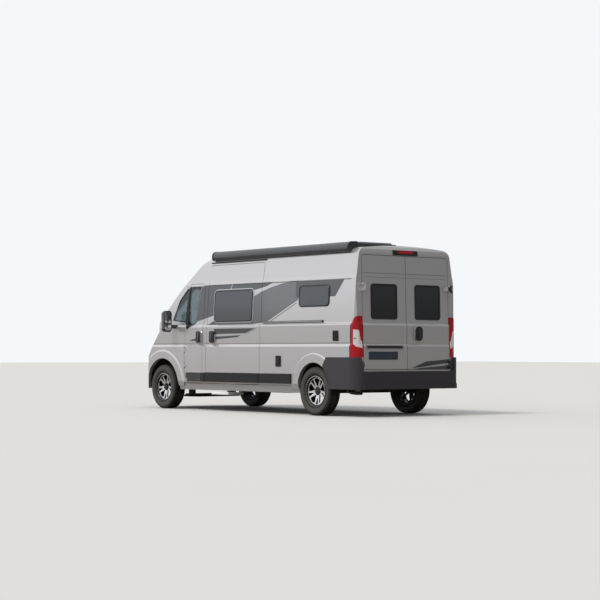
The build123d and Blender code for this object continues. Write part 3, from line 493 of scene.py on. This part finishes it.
# Awning rail cover and pillar mouldings. A silver strip in a black seal with a moulded end cap, and the
# short pieces of side moulding that close the gap across each door pillar.
RAIL_Z = 1.401
rail = rounded(1.482, 0.018, 0.004, 0.052, bevel=0.003, centre=(at(4.413), RAIL_Z, 0))
make_piece("rail_cover_strip", laid(sliced(rail, 0, 0.3), "left", bodywork, 0.040), paint, "body")
rail_ring = rounded(1.494, 0.032, 0.006, 0.009, band=0.007, bevel=0.002, centre=(at(4.419), RAIL_Z, 0))
rail_cap = rounded(0.016, 0.034, 0.005, 0.018, bevel=0.003, centre=(at(5.160), RAIL_Z, 0))
rail_seal = gathered(laid(sliced(rail_ring, 0, 0.3), "left", bodywork, 0.002),
                     laid(rail_cap, "left", bodywork))
make_piece("rail_cover_seal", rail_seal, trim, "body")
for side, way in SIDES.items():
    filler = mounted(side, (at(2.147), way * 1.0115, 0.5375), 0.104, 0.145, 0.003, 0.030, bevel=0.002)
    make_piece(f"pillar_moulding_{side}", filler, moulding, "body")

# Hook-up flap and side vent. Black mouldings let into the left side: a hinged flap with its catch
# and a louvred grille, each in a raised frame.
FLAP = (at(4.1265), 1.029)
flap = gathered(
    mounted("left", (*FLAP, 0.8045), 0.121, 0.163, 0.014, 0.004, band=0.010, bevel=0.0012),
    mounted("left", (*FLAP, 0.806), 0.085, 0.112, 0.010, 0.0035, bevel=0.001),
    mounted("left", (*FLAP, 0.868), 0.020, 0.012, 0.004, 0.008, bevel=0.001),
)
make_piece("hookup_flap", flap, trim, "body")
VENT = (at(5.4835), 1.017)
LOUVRE_PITCH = 0.0137
louvres = gathered(
    mounted("left", (*VENT, 1.183), 0.115, 0.150, 0.012, 0.004, band=0.008, bevel=0.0012),
    *[mounted("left", (*VENT, 1.128 + LOUVRE_PITCH * row), 0.092, 0.006, 0.0025, 0.005, bevel=0.001)
      for row in range(9)],
)
make_piece("vent_louvres", louvres, trim, "body")

# Awning. A roller cassette in satin anthracite aluminium along the left roof edge, with moulded end
# caps, the lead rail's dark joint along its front, and four brackets on the roof.
cassette = Finish("cassette_metal", (0.085, 0.088, 0.097), 0.34, Metallic=0.55, Coat_Weight=0.2)
cap_part = cassette.station().below(2.2745).most(cassette.station().above(5.6555))
cassette.tint(cap_part, (0.045, 0.046, 0.05))
cassette.tint(within(cassette.place("Z"), 2.452, 2.456, 0.001) * (1 - cap_part), (0.02, 0.02, 0.022))
cassette.vary("Roughness", cassette.grain(3.0, 3.0) * 0.1 + 0.28)
cassette.relief(cassette.grain(500.0, 2.0), 0.0003, 0.15)
cover(cassette, "awning")
BRACKET_PLACES = (2.62, 3.55, 4.30, 5.45)
brackets = gathered(*[mounted("top", (at(place), 0.72, 2.486), 0.09, 0.16, 0.012, 0.02, bevel=0.004)
                      for place in BRACKET_PLACES])
make_piece("awning_brackets", brackets, trim, "body")

# Cab glass. Green-tinted safety glass: the bonded windscreen, the quarter lights on the body and the
# drop glasses of the cab doors.
cab_glass = Finish("cab_glass", (0.34, 0.41, 0.43), 0.02, Transmission_Weight=1.0, IOR=1.5)
cab_glass.tint(cab_glass.grain(0.8, 1.0) * 0.2, (0.30, 0.38, 0.40))
cover(cab_glass, "cab_glazing", "cab_glass_left", "cab_glass_right")

# Rear door glass. Dark privacy glass with a black printed border, one pane in each rear door, held in a
# rubber seal.
PANE_Y, PANE_Z = 0.429, 1.684
tail_glass = Finish("privacy_glass", (0.030, 0.034, 0.037), 0.03, Transmission_Weight=0.35, IOR=1.5,
                    Coat_Weight=0.4)
tail_y, tail_z = abs(tail_glass.place("Y")) - PANE_Y, tail_glass.place("Z") - PANE_Z
border = abs(tail_y).above(0.222, 0.003).most(abs(tail_z).above(0.228, 0.003))
# Painted reflection: each pane is darker towards the bottom, as if it mirrored the dark ground.
tail_glass.tint(tail_z.below(-0.02, 0.25) * 0.8, (0.010, 0.011, 0.012))
tail_glass.tint(border, (0.006, 0.006, 0.007))
tail_glass.vary("Roughness", border * 0.1 + 0.03)
cover(tail_glass, "rear_glass_left", "rear_glass_right")
seal_rubber = Finish("seal_rubber", (0.013, 0.013, 0.014), 0.5)
seal_rubber.vary("Roughness", seal_rubber.grain(30.0, 2.0) * 0.2 + 0.4)
glazed_tail = skin_of("rear_door_left", "rear_door_right", "rear_glass_left", "rear_glass_right")
for side, way in SIDES.items():
    seal = rounded(0.514, 0.524, 0.050, 0.008, band=0.016, bevel=0.002, centre=(way * PANE_Y, PANE_Z, 0))
    make_piece(f"rear_seal_{side}", laid(seal, "rear", glazed_tail), seal_rubber, f"rear_door_{side}")

# Camper windows and roof light. Double-skinned smoked acrylic, thermoformed with a crowned outer skin,
# in black rubber seals; the front window of each side has a pale aluminium frame as well.
acrylic = Finish("smoked_acrylic", (0.040, 0.050, 0.064), 0.07, IOR=1.5, Coat_Weight=0.35,
                 Coat_Roughness=0.03)
acrylic.relief(acrylic.grain(2.2, 1.0), 0.004, 0.12)
# Painted reflection: the panes are darker towards the bottom, as if they mirrored the dark ground.
acrylic.tint(acrylic.place("Z").below(1.60, 0.22) * 0.75, (0.012, 0.013, 0.015))
acrylic.vary("Roughness", acrylic.grain(18.0, 2.0) * 0.04 + 0.05)
cover(acrylic, "camper_windows", "roof_light_lid")
frame_metal = Finish("frame_aluminium", (0.52, 0.53, 0.545), 0.32, Metallic=0.6)
frame_metal.vary("Roughness", frame_metal.grain(90.0, 2.0) * 0.12 + 0.26)
paned = skin_of("side_left", "side_right", "sliding_door", "camper_windows")
camper_table = [("left", "fore", 2.392, 3.409, 1.428, 1.922), ("left", "aft", 4.584, 5.299, 1.626, 1.939),
                ("right", "fore", 2.500, 3.300, 1.428, 1.922), ("right", "aft", 4.584, 5.299, 1.626, 1.939)]
for side, place, front, rear, foot, head in camper_table:
    middle = ((at(front) + at(rear)) / 2, (foot + head) / 2, 0)
    wide, high = rear - front, head - foot
    seal = rounded(wide + 0.016, high + 0.016, 0.068, 0.009, band=0.018, bevel=0.002, centre=middle)
    make_piece(f"window_seal_{side}_{place}", laid(sliced(seal, 1, 0.12), side, paned), seal_rubber, "body")
    if place == "fore":
        bright = rounded(wide + 0.044, high + 0.044, 0.082, 0.007, band=0.020, bevel=0.002, centre=middle)
        make_piece(f"window_frame_{side}", laid(sliced(bright, 1, 0.12), side, bodywork), frame_metal, "body")

# Tail lamps. Clear red mouldings with a white reversing section and a black edge, and the high brake
# lamp, a red lens in a black housing.
lens = Finish("lamp_lens", (0.46, 0.003, 0.007), 0.14, IOR=1.35, Coat_Weight=0.25, Coat_Roughness=0.03)
lens_s, lens_y, lens_z = lens.station(), abs(lens.place("Y")), lens.place("Z")
reversing = outlined(lens, lens_y, lens_z, [(1.035, 1.279), (0.927, 1.262), (0.893, 1.12), (0.893, 1.01),
                                           (0.961, 1.024), (1.035, 1.10)])
reversing = reversing.most(outlined(lens, lens_y, lens_z, [(0.895, 1.112), (0.868, 1.105), (0.868, 0.998),
                                                          (0.895, 1.008)]))
reversing = reversing * lens_s.above(5.868, 0.004)
low_lamp = lens_z.below(1.6)
lens.tint(lens_z.above(1.27, 0.01) * low_lamp * 0.35, (0.30, 0.004, 0.008))
lens.tint(reversing, (0.74, 0.74, 0.73))
bulb = within(lens_z, 1.135, 1.150, 0.003) * within(lens_y, 0.965, 0.99, 0.003)
lens.tint(reversing * bulb, (0.05, 0.05, 0.05))
edge_band = lens_s.below(5.829, 0.004).most(lens_z.above(1.462, 0.006)) * low_lamp
lens.tint(edge_band, (0.02, 0.012, 0.012))
brake_housing = (1 - within(lens_y, -1, 0.150) * within(lens_z, 2.404, 2.440)) * lens_z.above(1.6)
lens.tint(brake_housing, (0.015, 0.015, 0.016))
lens.relief((lens_z * 90.0).fraction(), 0.001, 0.2)
lens.vary("Roughness", lens.grain(30.0) * 0.05 + 0.08 + brake_housing * 0.3)
cover(lens, "rear_lamps")

# Rear door fittings. A blank dark blue number plate held by two screws in a black surround, and the
# gloss black pull handle with its bowl and lock.
plate_blue = Finish("plate_blue", (0.018, 0.030, 0.055), 0.35, Coat_Weight=0.4)
plate_blue.vary("Roughness", plate_blue.grain(60.0, 2.0) * 0.1 + 0.3)
PLATE_Y, PLATE_Z = 0.452, 0.8935
plate = mounted("rear", (at(5.9095), PLATE_Y, PLATE_Z), 0.540, 0.101, 0.010, 0.003, bevel=0.001)
make_piece("number_plate", plate, plate_blue, "rear_door_left")
surround_trim = gathered(
    mounted("rear", (at(5.9085), PLATE_Y, PLATE_Z), 0.556, 0.117, 0.014, 0.006, band=0.008, bevel=0.0015),
    *[mounted("rear", (at(5.9125), PLATE_Y + off_centre, PLATE_Z), 0.011, 0.011, 0.0035, 0.002)
      for off_centre in (-0.245, 0.245)],
)
make_piece("plate_surround", surround_trim, trim, "rear_door_left")
PULL_Y = -0.218
pull = gathered(
    mounted("rear", (at(5.954), PULL_Y, 1.220), 0.125, 0.207, 0.056, 0.004, band=0.012, bevel=0.0015),
    mounted("rear", (at(5.954), PULL_Y, 1.220), 0.052, 0.176, 0.024, 0.013, bevel=0.005),
    mounted("rear", (at(5.967), PULL_Y, 1.158), 0.022, 0.022, 0.010, 0.003, bevel=0.001),
)
make_piece("rear_pull", pull, gloss, "rear_door_right")

# Side door handles. A black bowl with a raised rim and an upright grip on each cab door and on the
# sliding door.
for side, door, place, body in (("left", "cab", 2.000, "cab_door_left"), ("left", "slide", 2.369, "body"),
                                ("right", "cab", 2.000, "cab_door_right")):
    face_y = SIDES[side] * 1.042
    grip = gathered(
        mounted(side, (at(place), face_y, 1.185), 0.110, 0.182, 0.034, 0.003, band=0.010, bevel=0.001),
        mounted(side, (at(place + 0.012), face_y, 1.185), 0.042, 0.158, 0.018, 0.010, bevel=0.004),
        mounted(side, (at(place - 0.034), face_y, 1.125), 0.018, 0.018, 0.008, 0.003, bevel=0.001),
    )
    make_piece(f"handle_{side}_{door}", grip, gloss, body)

# Mirror glasses. An upper flat glass and a lower wide-angle glass in each housing, silvered behind and
# clipped into thin black rims.
silvering = Finish("mirror_glass", (0.78, 0.80, 0.82), 0.02, Metallic=1.0)
silvering.vary("Roughness", silvering.grain(3.0, 1.0) * 0.02 + 0.01)
MIRROR_PANES = ((0.188, 0.202, 1.512), (0.106, 0.120, 1.348))
for side, way in SIDES.items():
    pane_y = way * 1.177
    glasses = gathered(*[mounted("rear", (at(1.3305), pane_y, up), 0.128, glass, 0.030, 0.002, bevel=0.0008)
                         for glass, rim, up in MIRROR_PANES])
    make_piece(f"mirror_glass_{side}", glasses, silvering, "body")
    rims = gathered(*[mounted("rear", (at(1.3298), pane_y, up), 0.142, rim, 0.036, 0.004, band=0.006)
                      for glass, rim, up in MIRROR_PANES])
    make_piece(f"mirror_rims_{side}", rims, trim, "body")

# Headlamps. Clear mouldings over dark housings, with two bright reflectors and an amber corner in
# each, and fine upright flutes behind the lens.
headlamp = Finish("headlamp_lens", (0.10, 0.105, 0.115), 0.08, Metallic=0.4, Coat_Weight=1.0,
                  Coat_Roughness=0.02)
lamp_y, lamp_z = abs(headlamp.place("Y")), headlamp.place("Z")
for middle_y, middle_z, reach in ((0.640, 0.905, 0.062), (0.800, 0.955, 0.070)):
    gap_y, gap_z = lamp_y - middle_y, lamp_z - middle_z
    away = (gap_y * gap_y + gap_z * gap_z).root()
    headlamp.tint(away.below(reach, 0.002), (0.34, 0.35, 0.37))
    headlamp.tint(away.below(reach * 0.86, 0.002), (0.20, 0.21, 0.23))
    headlamp.tint(away.below(reach * 0.46, 0.002), (0.60, 0.61, 0.63))
headlamp.tint(lamp_y.above(0.93, 0.006) * lamp_z.above(1.06, 0.006), (0.62, 0.24, 0.03))
headlamp.relief((lamp_y * 60.0).fraction(), 0.002, 0.25)
headlamp.vary("Roughness", headlamp.grain(20.0, 2.0) * 0.05 + 0.05)
cover(headlamp, "headlamps")

# Front fittings. A blank white number plate on the bumper, fog lamps in black bezels, and two wipers,
# each a blade and its arm, at the foot of the windscreen.
nose = skin_of("front_bumper", "grille", "bonnet", "headlamps", "front_wings")
white_plate = Finish("plate_white", (0.70, 0.70, 0.69), 0.4)
white_plate.vary("Roughness", white_plate.grain(50.0, 2.0) * 0.1 + 0.34)
front_plate = sliced(rounded(0.520, 0.111, 0.010, 0.004, bevel=0.001, centre=(0, 0.706, 0)), 0, 0.09)
make_piece("front_plate", laid(front_plate, "front", nose), white_plate, "body")
lamp_glass = Finish("lamp_glass", (0.68, 0.69, 0.70), 0.15, Coat_Weight=0.8, Coat_Roughness=0.03)
lamp_glass.relief(lamp_glass.grain(120.0, 1.0), 0.001, 0.4)
fog_rims, fog_glasses = [], []
for way in SIDES.values():
    fog_place = (way * 0.66, 0.515, 0)
    fog_rim = rounded(0.150, 0.110, 0.050, 0.010, band=0.020, bevel=0.003, centre=fog_place)
    fog_rims.append(laid(fog_rim, "front", nose))
    fog_glass = rounded(0.108, 0.068, 0.033, 0.005, bevel=0.002, centre=fog_place)
    fog_glasses.append(laid(fog_glass, "front", nose))
make_piece("fog_rims", gathered(*fog_rims), trim, "body")
make_piece("fog_glasses", gathered(*fog_glasses), lamp_glass, "body")
screen = skin_of("cab_glazing", "bonnet", "front_wings", "roof")
wipers = []
for centre_y in (-0.38, 0.42):
    blade = sliced(rounded(0.62, 0.014, 0.005, 0.016, centre=(centre_y, 1.425, 0)), 0, 0.05)
    wipers.append(laid(blade, "front", screen))
    arm = sliced(rounded(0.34, 0.018, 0.006, 0.020, centre=(centre_y - 0.15, 1.398, 0)), 0, 0.05)
    wipers.append(laid(arm, "front", screen))
make_piece("wipers", gathered(*wipers), trim, "body")

# Chassis, axles and tanks. Pressed and welded steel in black chassis paint, and the tanks' black
# plastic, all under brown road dust.
chassis_paint = Finish("chassis_paint", (0.016, 0.0155, 0.0155), 0.55, Metallic=0.2, Specular_IOR_Level=0.3)
chassis_paint.tint(chassis_paint.grain(3.5, 5.0).above(0.52, 0.3) * 0.35, (0.13, 0.115, 0.095))
chassis_paint.relief(chassis_paint.grain(60.0, 4.0), 0.001, 0.3)
cover(chassis_paint, "chassis", "rear_axle", "knuckle_left", "knuckle_right", "tanks")

# Exhaust and engine. Dull steel tube and silencer, browned by heat and hung on straps, and the
# engine's cast block.
exhaust_steel = Finish("exhaust_steel", (0.33, 0.31, 0.29), 0.42, Metallic=0.9)
exhaust_steel.tint(exhaust_steel.grain(5.0, 4.0).above(0.5, 0.3) * 0.6, (0.20, 0.15, 0.11))
exhaust_steel.relief(exhaust_steel.grain(120.0, 3.0), 0.0006, 0.3)
cover(exhaust_steel, "exhaust")
cast_iron = Finish("engine_castings", (0.15, 0.15, 0.155), 0.6, Metallic=0.6)
cast_iron.tint(cast_iron.grain(6.0, 5.0).above(0.5, 0.3) * 0.5, (0.07, 0.065, 0.06))
cast_iron.relief(cast_iron.grain(90.0, 4.0), 0.002, 0.4)
cover(cast_iron, "engine")

# Tail pipe. A steel pipe bent over the axle from the silencer's end to the van's left, with its clamp
# on the chassis rail.
def block(low, high, bevel=0.004, segments=2):
    """a block with rounded edges between two corners, as station, width and height"""
    mesh = bmesh.new()
    bmesh.ops.create_cube(mesh, size=1)
    size = Vector(high) - Vector(low)
    middle = (Vector(high) + Vector(low)) / 2
    bmesh.ops.scale(mesh, vec=size, verts=mesh.verts)
    bmesh.ops.bevel(mesh, geom=mesh.edges[:], offset=bevel, offset_type="OFFSET", affect="EDGES",
                    segments=segments, profile=0.5, material=-1)
    bmesh.ops.translate(mesh, vec=(at(middle.x), middle.y, middle.z), verts=mesh.verts)
    return mesh


ROUTE = [
    (4.29, -0.50, 0.372), (4.40, -0.495, 0.372), (4.50, -0.42, 0.372), (4.54, -0.28, 0.372),
    (4.55, 0.18, 0.372), (4.60, 0.38, 0.376), (4.71, 0.48, 0.398), (4.84, 0.50, 0.438),
    (4.98, 0.50, 0.447), (5.11, 0.503, 0.412), (5.21, 0.513, 0.352), (5.31, 0.515, 0.335),
    (5.49, 0.515, 0.335),
]
route = bpy.data.curves.new("route", "CURVE")
route.dimensions = "3D"
route.bevel_depth = 0.024
route.bevel_resolution = 5
route.resolution_u = 6
spline = route.splines.new("BEZIER")
spline.bezier_points.add(len(ROUTE) - 1)
for knot, (along, across, up) in zip(spline.bezier_points, ROUTE):
    knot.co = (at(along), across, up)
    knot.handle_left_type = knot.handle_right_type = "AUTO"
swept_route = bpy.data.objects.new("route", route)
tail_pipe = bmesh.new()
tail_pipe.from_mesh(bpy.data.meshes.new_from_object(swept_route))
bpy.data.objects.remove(swept_route)
bmesh.ops.solidify(tail_pipe, geom=tail_pipe.faces[:], thickness=0.002)
bmesh.ops.recalc_face_normals(tail_pipe, faces=tail_pipe.faces)
clamp = block((5.34, 0.43, 0.356), (5.37, 0.525, 0.455), 0.006)
make_piece("tail_pipe", gathered(tail_pipe, clamp), exhaust_steel, "body")

# Entrance step. An anodised aluminium tread under the sliding door, with raised grip ribs, and a white
# nosing along its outer edge, a painted highlight that stands in for the sunlit tread.
step_metal = Finish("step_metal", (0.80, 0.80, 0.80), 0.32, Metallic=0.15)
step_metal.tint((step_metal.station() * 20.0).fraction().above(0.9, 0.1) * 0.2, (0.3, 0.3, 0.3))
step_metal.vary("Roughness", step_metal.grain(12.0, 3.0) * 0.2 + 0.24)
cover(step_metal, "step")
ribs = gathered(*[rounded(0.39, 0.008, 0.003, 0.003, centre=(at(2.579), 0.72 + 0.028 * row, 0.2955))
                  for row in range(9)])
bmesh.ops.recalc_face_normals(ribs, faces=ribs.faces)
make_piece("step_ribs", ribs, step_metal, "body")
# Painted highlight: the nosing is white where the sunlit step tread shows bright.
nosing_highlight_white = Finish("step_nosing_highlight", (0.86, 0.86, 0.85), 0.4)
nosing_highlight_white.vary("Roughness", nosing_highlight_white.grain(30.0, 2.0) * 0.15 + 0.32)
nosing = block((2.345, 0.9755, 0.262), (2.800, 1.010, 0.302), 0.008)
make_piece("step_nosing_highlight", nosing, nosing_highlight_white, "body")

# Living space. A wood-print floor, the kitchen unit with its drawers and worktop, and the bed base,
# all of faced board with rounded edges.
flooring = Finish("plank_floor", (0.30, 0.235, 0.17), 0.5)
planks = flooring.place("Y") * 8.0
wood = flooring.add("Mapping", {}, flooring.place(), Scale=(0.4, 8, 1))
flooring.tint(flooring.grain(2.5, 6.0, 0.6, wood).above(0.5, 0.4), (0.20, 0.15, 0.105))
flooring.relief(planks.fraction().above(0.03, 0.02), 0.002, 0.5)
cover(flooring, "floor")
board = Finish("faced_board", (0.46, 0.39, 0.31), 0.45)
veins = board.add("Mapping", {}, board.place(), Scale=(0.5, 0.5, 9))
board.tint(board.grain(2.0, 6.0, 0.6, veins).above(0.5, 0.4) * 0.6, (0.36, 0.285, 0.21))
board.vary("Roughness", board.grain(20.0, 2.0) * 0.1 + 0.4)
FRONT_STARTS = (2.615, 2.888, 3.161, 3.434)
FRONT_ROWS = ((0.66, 0.98), (0.99, 1.16), (1.17, 1.33))
fronts = [block((start, -0.482, low), (start + 0.262, -0.4805, high), 0.0006, 1)
          for start in FRONT_STARTS for low, high in FRONT_ROWS]
cabinet = block((2.6, -0.9, 0.6), (3.7, -0.484, 1.345))
worktop = block((2.6, -0.9, 1.346), (3.7, -0.48, 1.38), 0.008)
bed_board = block((4.3, -0.74, 0.9), (5.75, 0.74, 0.93), 0.005)
bed_legs = [block((start, low, 0.6), (start + 0.03, low + 0.02, 0.9), 0.002, 1)
            for start in (4.33, 5.69) for low in (-0.70, 0.68)]
kitchen = gathered(cabinet, worktop, bed_board, *bed_legs, *fronts)
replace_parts(make_piece("kitchen_and_bed_base", kitchen, board, "body"), "furniture")

# Mattress and cab seats. Foam cushions in woven cloth, with sewn channels; each seat stands on a
# moulded pedestal and carries its headrest on two posts.
SEAT_Y = 0.43
SIM_FRAMES = 12
SEAM_WIDTH, SEAM_DEPTH = 0.009, 0.010
cloth = Finish("seat_cloth", (0.085, 0.085, 0.092), 0.9, Sheen_Weight=0.3)
weave = cloth.grain(350.0, 2.0)
cloth.tint(weave.above(0.5, 0.3) * 0.5, (0.15, 0.15, 0.16))
panel = abs(abs(cloth.place("Y")) - SEAT_Y).below(0.13, 0.004) * cloth.place("Z").below(1.70)
cloth.tint(panel * 0.5, (0.16, 0.165, 0.18))
cloth.relief(weave, 0.001, 0.5)


def stuffed(name, mesh, voxel, swell, channels=()):
    """foam under cloth: a short cloth simulation blows an even mesh up by the swell at most, and
    then a formula, not the simulation, presses in the sewn channels"""
    piece = make_piece(name, mesh, cloth, "body", crease=80)
    bpy.context.view_layer.objects.active = piece
    even = piece.modifiers.new("even", "REMESH")
    even.mode, even.voxel_size = "VOXEL", voxel
    bpy.ops.object.modifier_apply(modifier=even.name)
    start = [vertex.co.copy() for vertex in piece.data.vertices]
    moved = start
    filling = piece.modifiers.new("filling", "CLOTH")
    filling.settings.use_pressure = True
    filling.settings.uniform_pressure_force = 4
    filling.settings.effector_weights.gravity = 0
    for number in range(1, SIM_FRAMES + 1):
        bpy.context.scene.frame_set(number)
    graph = bpy.context.evaluated_depsgraph_get()
    moved = [vertex.co.copy() for vertex in piece.evaluated_get(graph).data.vertices]
    piece.modifiers.remove(filling)
    bpy.context.scene.frame_set(1)
    normals = [vertex.normal.copy() for vertex in piece.data.vertices]
    for vertex, first, last, normal in zip(piece.data.vertices, start, moved, normals):
        step = last - first
        if step.length > swell:
            step *= swell / step.length
        sewn = sum(math.exp(-((first[axis] - level) / SEAM_WIDTH) ** 2) for axis, level in channels)
        vertex.co = first + step - normal * min(sewn, 1) * SEAM_DEPTH
    for polygon in piece.data.polygons:
        polygon.use_smooth = True
    return piece


def peg(place, segments, foot, head, length, way=0):
    """a round or many-sided peg, upright, or lying with its head to the left (1) or right (-1)"""
    mesh = bmesh.new()
    bmesh.ops.create_cone(mesh, cap_ends=True, segments=segments, radius1=foot, radius2=head, depth=length)
    mesh.transform(Matrix.Translation(place) @ Matrix.Rotation(-way * math.pi / 2, 4, "X"))
    return mesh


for side, low, high in (("left", 0.008, 0.73), ("right", -0.73, -0.008)):
    pad = block((4.308, low, 0.936), (5.742, high, 1.012), 0.022, 4)
    stuffed(f"mattress_{side}", pad, 0.016, 0.006, [(0, at(4.8)), (0, at(5.25))])
lean = math.radians(8.8)
for side, way in SIDES.items():
    middle = way * SEAT_Y
    cushion = gathered(
        block((1.675, middle - 0.235, 0.955), (2.135, middle + 0.235, 1.045), 0.032, 4),
        *[block((1.70, middle + edge - 0.035, 0.965), (2.12, middle + edge + 0.035, 1.062), 0.030, 4)
          for edge in (-0.205, 0.205)],
    )
    stuffed(f"seat_cushion_{side}", cushion, 0.008, 0.008, [(0, at(1.83)), (0, at(1.98))])
    back = gathered(
        block((2.165, middle - 0.225, 1.03), (2.262, middle + 0.225, 1.715), 0.035, 4),
        *[block((2.135, middle + edge - 0.035, 1.06), (2.23, middle + edge + 0.035, 1.56), 0.030, 4)
          for edge in (-0.195, 0.195)],
    )
    bmesh.ops.rotate(back, verts=back.verts, cent=(at(2.21), 0, 1.05), matrix=Matrix.Rotation(-lean, 3, "Y"))
    stuffed(f"seat_back_{side}", back, 0.008, 0.008, [(2, 1.22), (2, 1.40), (2, 1.58)])
    rest = block((2.262, middle - 0.115, 1.745), (2.322, middle + 0.115, 1.885), 0.028, 4)
    stuffed(f"headrest_{side}", rest, 0.007, 0.006)
    posts = [peg((at(2.283), middle + post_y, 1.735), 16, 0.006, 0.006, 0.10) for post_y in (-0.05, 0.05)]
    make_piece(f"headrest_posts_{side}", gathered(*posts), step_metal, "body")
    pedestal = gathered(block((1.74, middle - 0.20, 0.6), (2.18, middle + 0.20, 0.93), 0.02),
                        block((1.71, middle - 0.235, 0.925), (2.22, middle + 0.235, 0.953), 0.01))
    base = make_piece(f"seat_pedestal_{side}", pedestal, trim, "body")
    if side == "left":
        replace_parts(base, "cab_seats")

# Tyres. Black rubber in a closed spun section, with four grooves round the tread, cross cuts between
# its blocks, and moulded rings on the side walls.
AXLE_Z = 0.364
FRONT_AXLE, REAR_AXLE = 0.948, 4.983
HUBS = {
    "front_left": (FRONT_AXLE, 0.905), "front_right": (FRONT_AXLE, -0.905),
    "rear_left": (REAR_AXLE, 0.895), "rear_right": (REAR_AXLE, -0.895),
}
SECTION = [
    (0.0225, 0.364), (0.0225, 0.3565), (0.0315, 0.3565), (0.0315, 0.364), (0.0560, 0.3635), (0.0560, 0.3565),
    (0.0650, 0.3565), (0.0650, 0.363), (0.0880, 0.360), (0.0990, 0.350), (0.1060, 0.338), (0.1115, 0.318),
    (0.1122, 0.300), (0.1090, 0.278), (0.1010, 0.256), (0.0930, 0.243), (0.0900, 0.236), (0.0880, 0.2305),
]
TREAD_STEPS = 120
TREAD_DEPTH = 0.006


def from_hub(finish, hub):
    """how far a point is from its wheel's axis"""
    spread = finish.add("VectorMath", {"operation": "SUBTRACT"}, finish.place(), tuple(hub))
    flat = finish.add("VectorMath", {"operation": "MULTIPLY"}, spread, (1, 0, 1))
    return finish.add("VectorMath", {"operation": "LENGTH"}, flat, out="Value")


def tyre_mesh():
    """half the section and its mirror image, joined to a loop and spun round the hub"""
    mesh = bmesh.new()
    loop = [mesh.verts.new((0, across, reach)) for across, reach in SECTION]
    loop += [mesh.verts.new((0, -across, reach)) for across, reach in reversed(SECTION)]
    for first, second in zip(loop, loop[1:] + loop[:1]):
        mesh.edges.new((first, second))
    bmesh.ops.spin(mesh, geom=[*mesh.verts, *mesh.edges], cent=(0, 0, 0), axis=(0, 1, 0), angle=math.tau,
                   steps=TREAD_STEPS, use_merge=True)
    bmesh.ops.recalc_face_normals(mesh, faces=mesh.faces)
    cuts = []
    for face in mesh.faces:
        middle = face.calc_center_median()
        reach = math.hypot(middle.x, middle.z)
        turn = int((math.atan2(middle.z, middle.x) / math.tau + 1) * TREAD_STEPS)
        blocks = (turn + (2 if middle.y > 0 else 0)) % 4 == 0
        if reach > 0.3585 and abs(face.normal.y) < 0.6 and abs(middle.y) > 0.033 and blocks:
            cuts.append(face)
    deep = bmesh.ops.extrude_face_region(mesh, geom=cuts)["geom"]
    bmesh.ops.delete(mesh, geom=cuts, context="FACES_ONLY")
    for part in deep:
        if isinstance(part, bmesh.types.BMVert):
            away = math.hypot(part.co.x, part.co.z)
            part.co.x *= (away - TREAD_DEPTH) / away
            part.co.z *= (away - TREAD_DEPTH) / away
    return mesh


for place, (hub_s, track) in HUBS.items():
    hub = Vector((at(hub_s), track, AXLE_Z))
    rubber = Finish(f"rubber_{place}", (0.016, 0.015, 0.0145), 0.72, Specular_IOR_Level=0.3)
    reach = from_hub(rubber, hub)
    rings = (reach * 70.0).fraction()
    rubber.relief(rings.above(0.5, 0.6) * reach.below(0.34, 0.01), 0.0015, 0.35)
    rubber.tint(within(reach, 0.262, 0.330, 0.014) * 0.75, (0.085, 0.081, 0.078))
    rubber.tint(rubber.grain(5.0, 4.0).above(0.48, 0.3) * 0.35, (0.070, 0.060, 0.048))
    rubber.vary("Roughness", rubber.grain(40.0, 3.0) * 0.2 + 0.6)
    mesh = tyre_mesh()
    bmesh.ops.translate(mesh, vec=hub, verts=mesh.verts)
    tyre = make_piece(f"treaded_tyre_{place}", mesh, rubber, f"wheel_{place}", crease=40)
    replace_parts(tyre, f"tyre_{place}")

# Road wheels. Cast alloy: faces turned bright, pockets and barrel painted dark, five bolts round a
# blank cap, and a valve.
BOLT_CIRCLE = 0.048
for place, (hub_s, track) in HUBS.items():
    way = 1 if track > 0 else -1
    hub = Vector((at(hub_s), track, AXLE_Z))
    alloy = Finish(f"alloy_{place}", (0.020, 0.021, 0.024), 0.38, Metallic=0.3)
    reach = from_hub(alloy, hub)
    outwards = alloy.add("SeparateXYZ", {}, alloy.add("TexCoord", {}, out="Normal"), out="Y") * float(way)
    depth = (alloy.place("Y") - track) * float(way)
    face = outwards.above(0.75, 0.1) * depth.above(0.041, 0.002)
    face = face * reach.above(0.064, 0.002) * reach.below(0.224, 0.001)
    alloy.tint(face, (0.72, 0.72, 0.73))
    alloy.vary("Metallic", face * 0.5 + 0.3)
    alloy.vary("Roughness", alloy.grain(60.0, 2.0) * 0.1 + 0.22)
    cover(alloy, f"rim_{place}")
    fixings = []
    for index in range(5):
        turn = math.tau * (index + 0.5) / 5 + math.pi / 2
        seat = Vector((BOLT_CIRCLE * math.cos(turn), way * 0.052, BOLT_CIRCLE * math.sin(turn)))
        fixings.append(peg(hub + seat, 6, 0.0095, 0.0080, 0.012, way))
    cap = peg(hub + Vector((0, way * 0.056, 0)), 32, 0.0315, 0.0275, 0.004, way)
    stem = peg(hub + Vector((0.195, way * 0.074, 0)), 10, 0.0035, 0.0028, 0.028, way)
    make_piece(f"wheel_bolts_{place}", gathered(*fixings, cap, stem), chassis_paint, f"wheel_{place}")
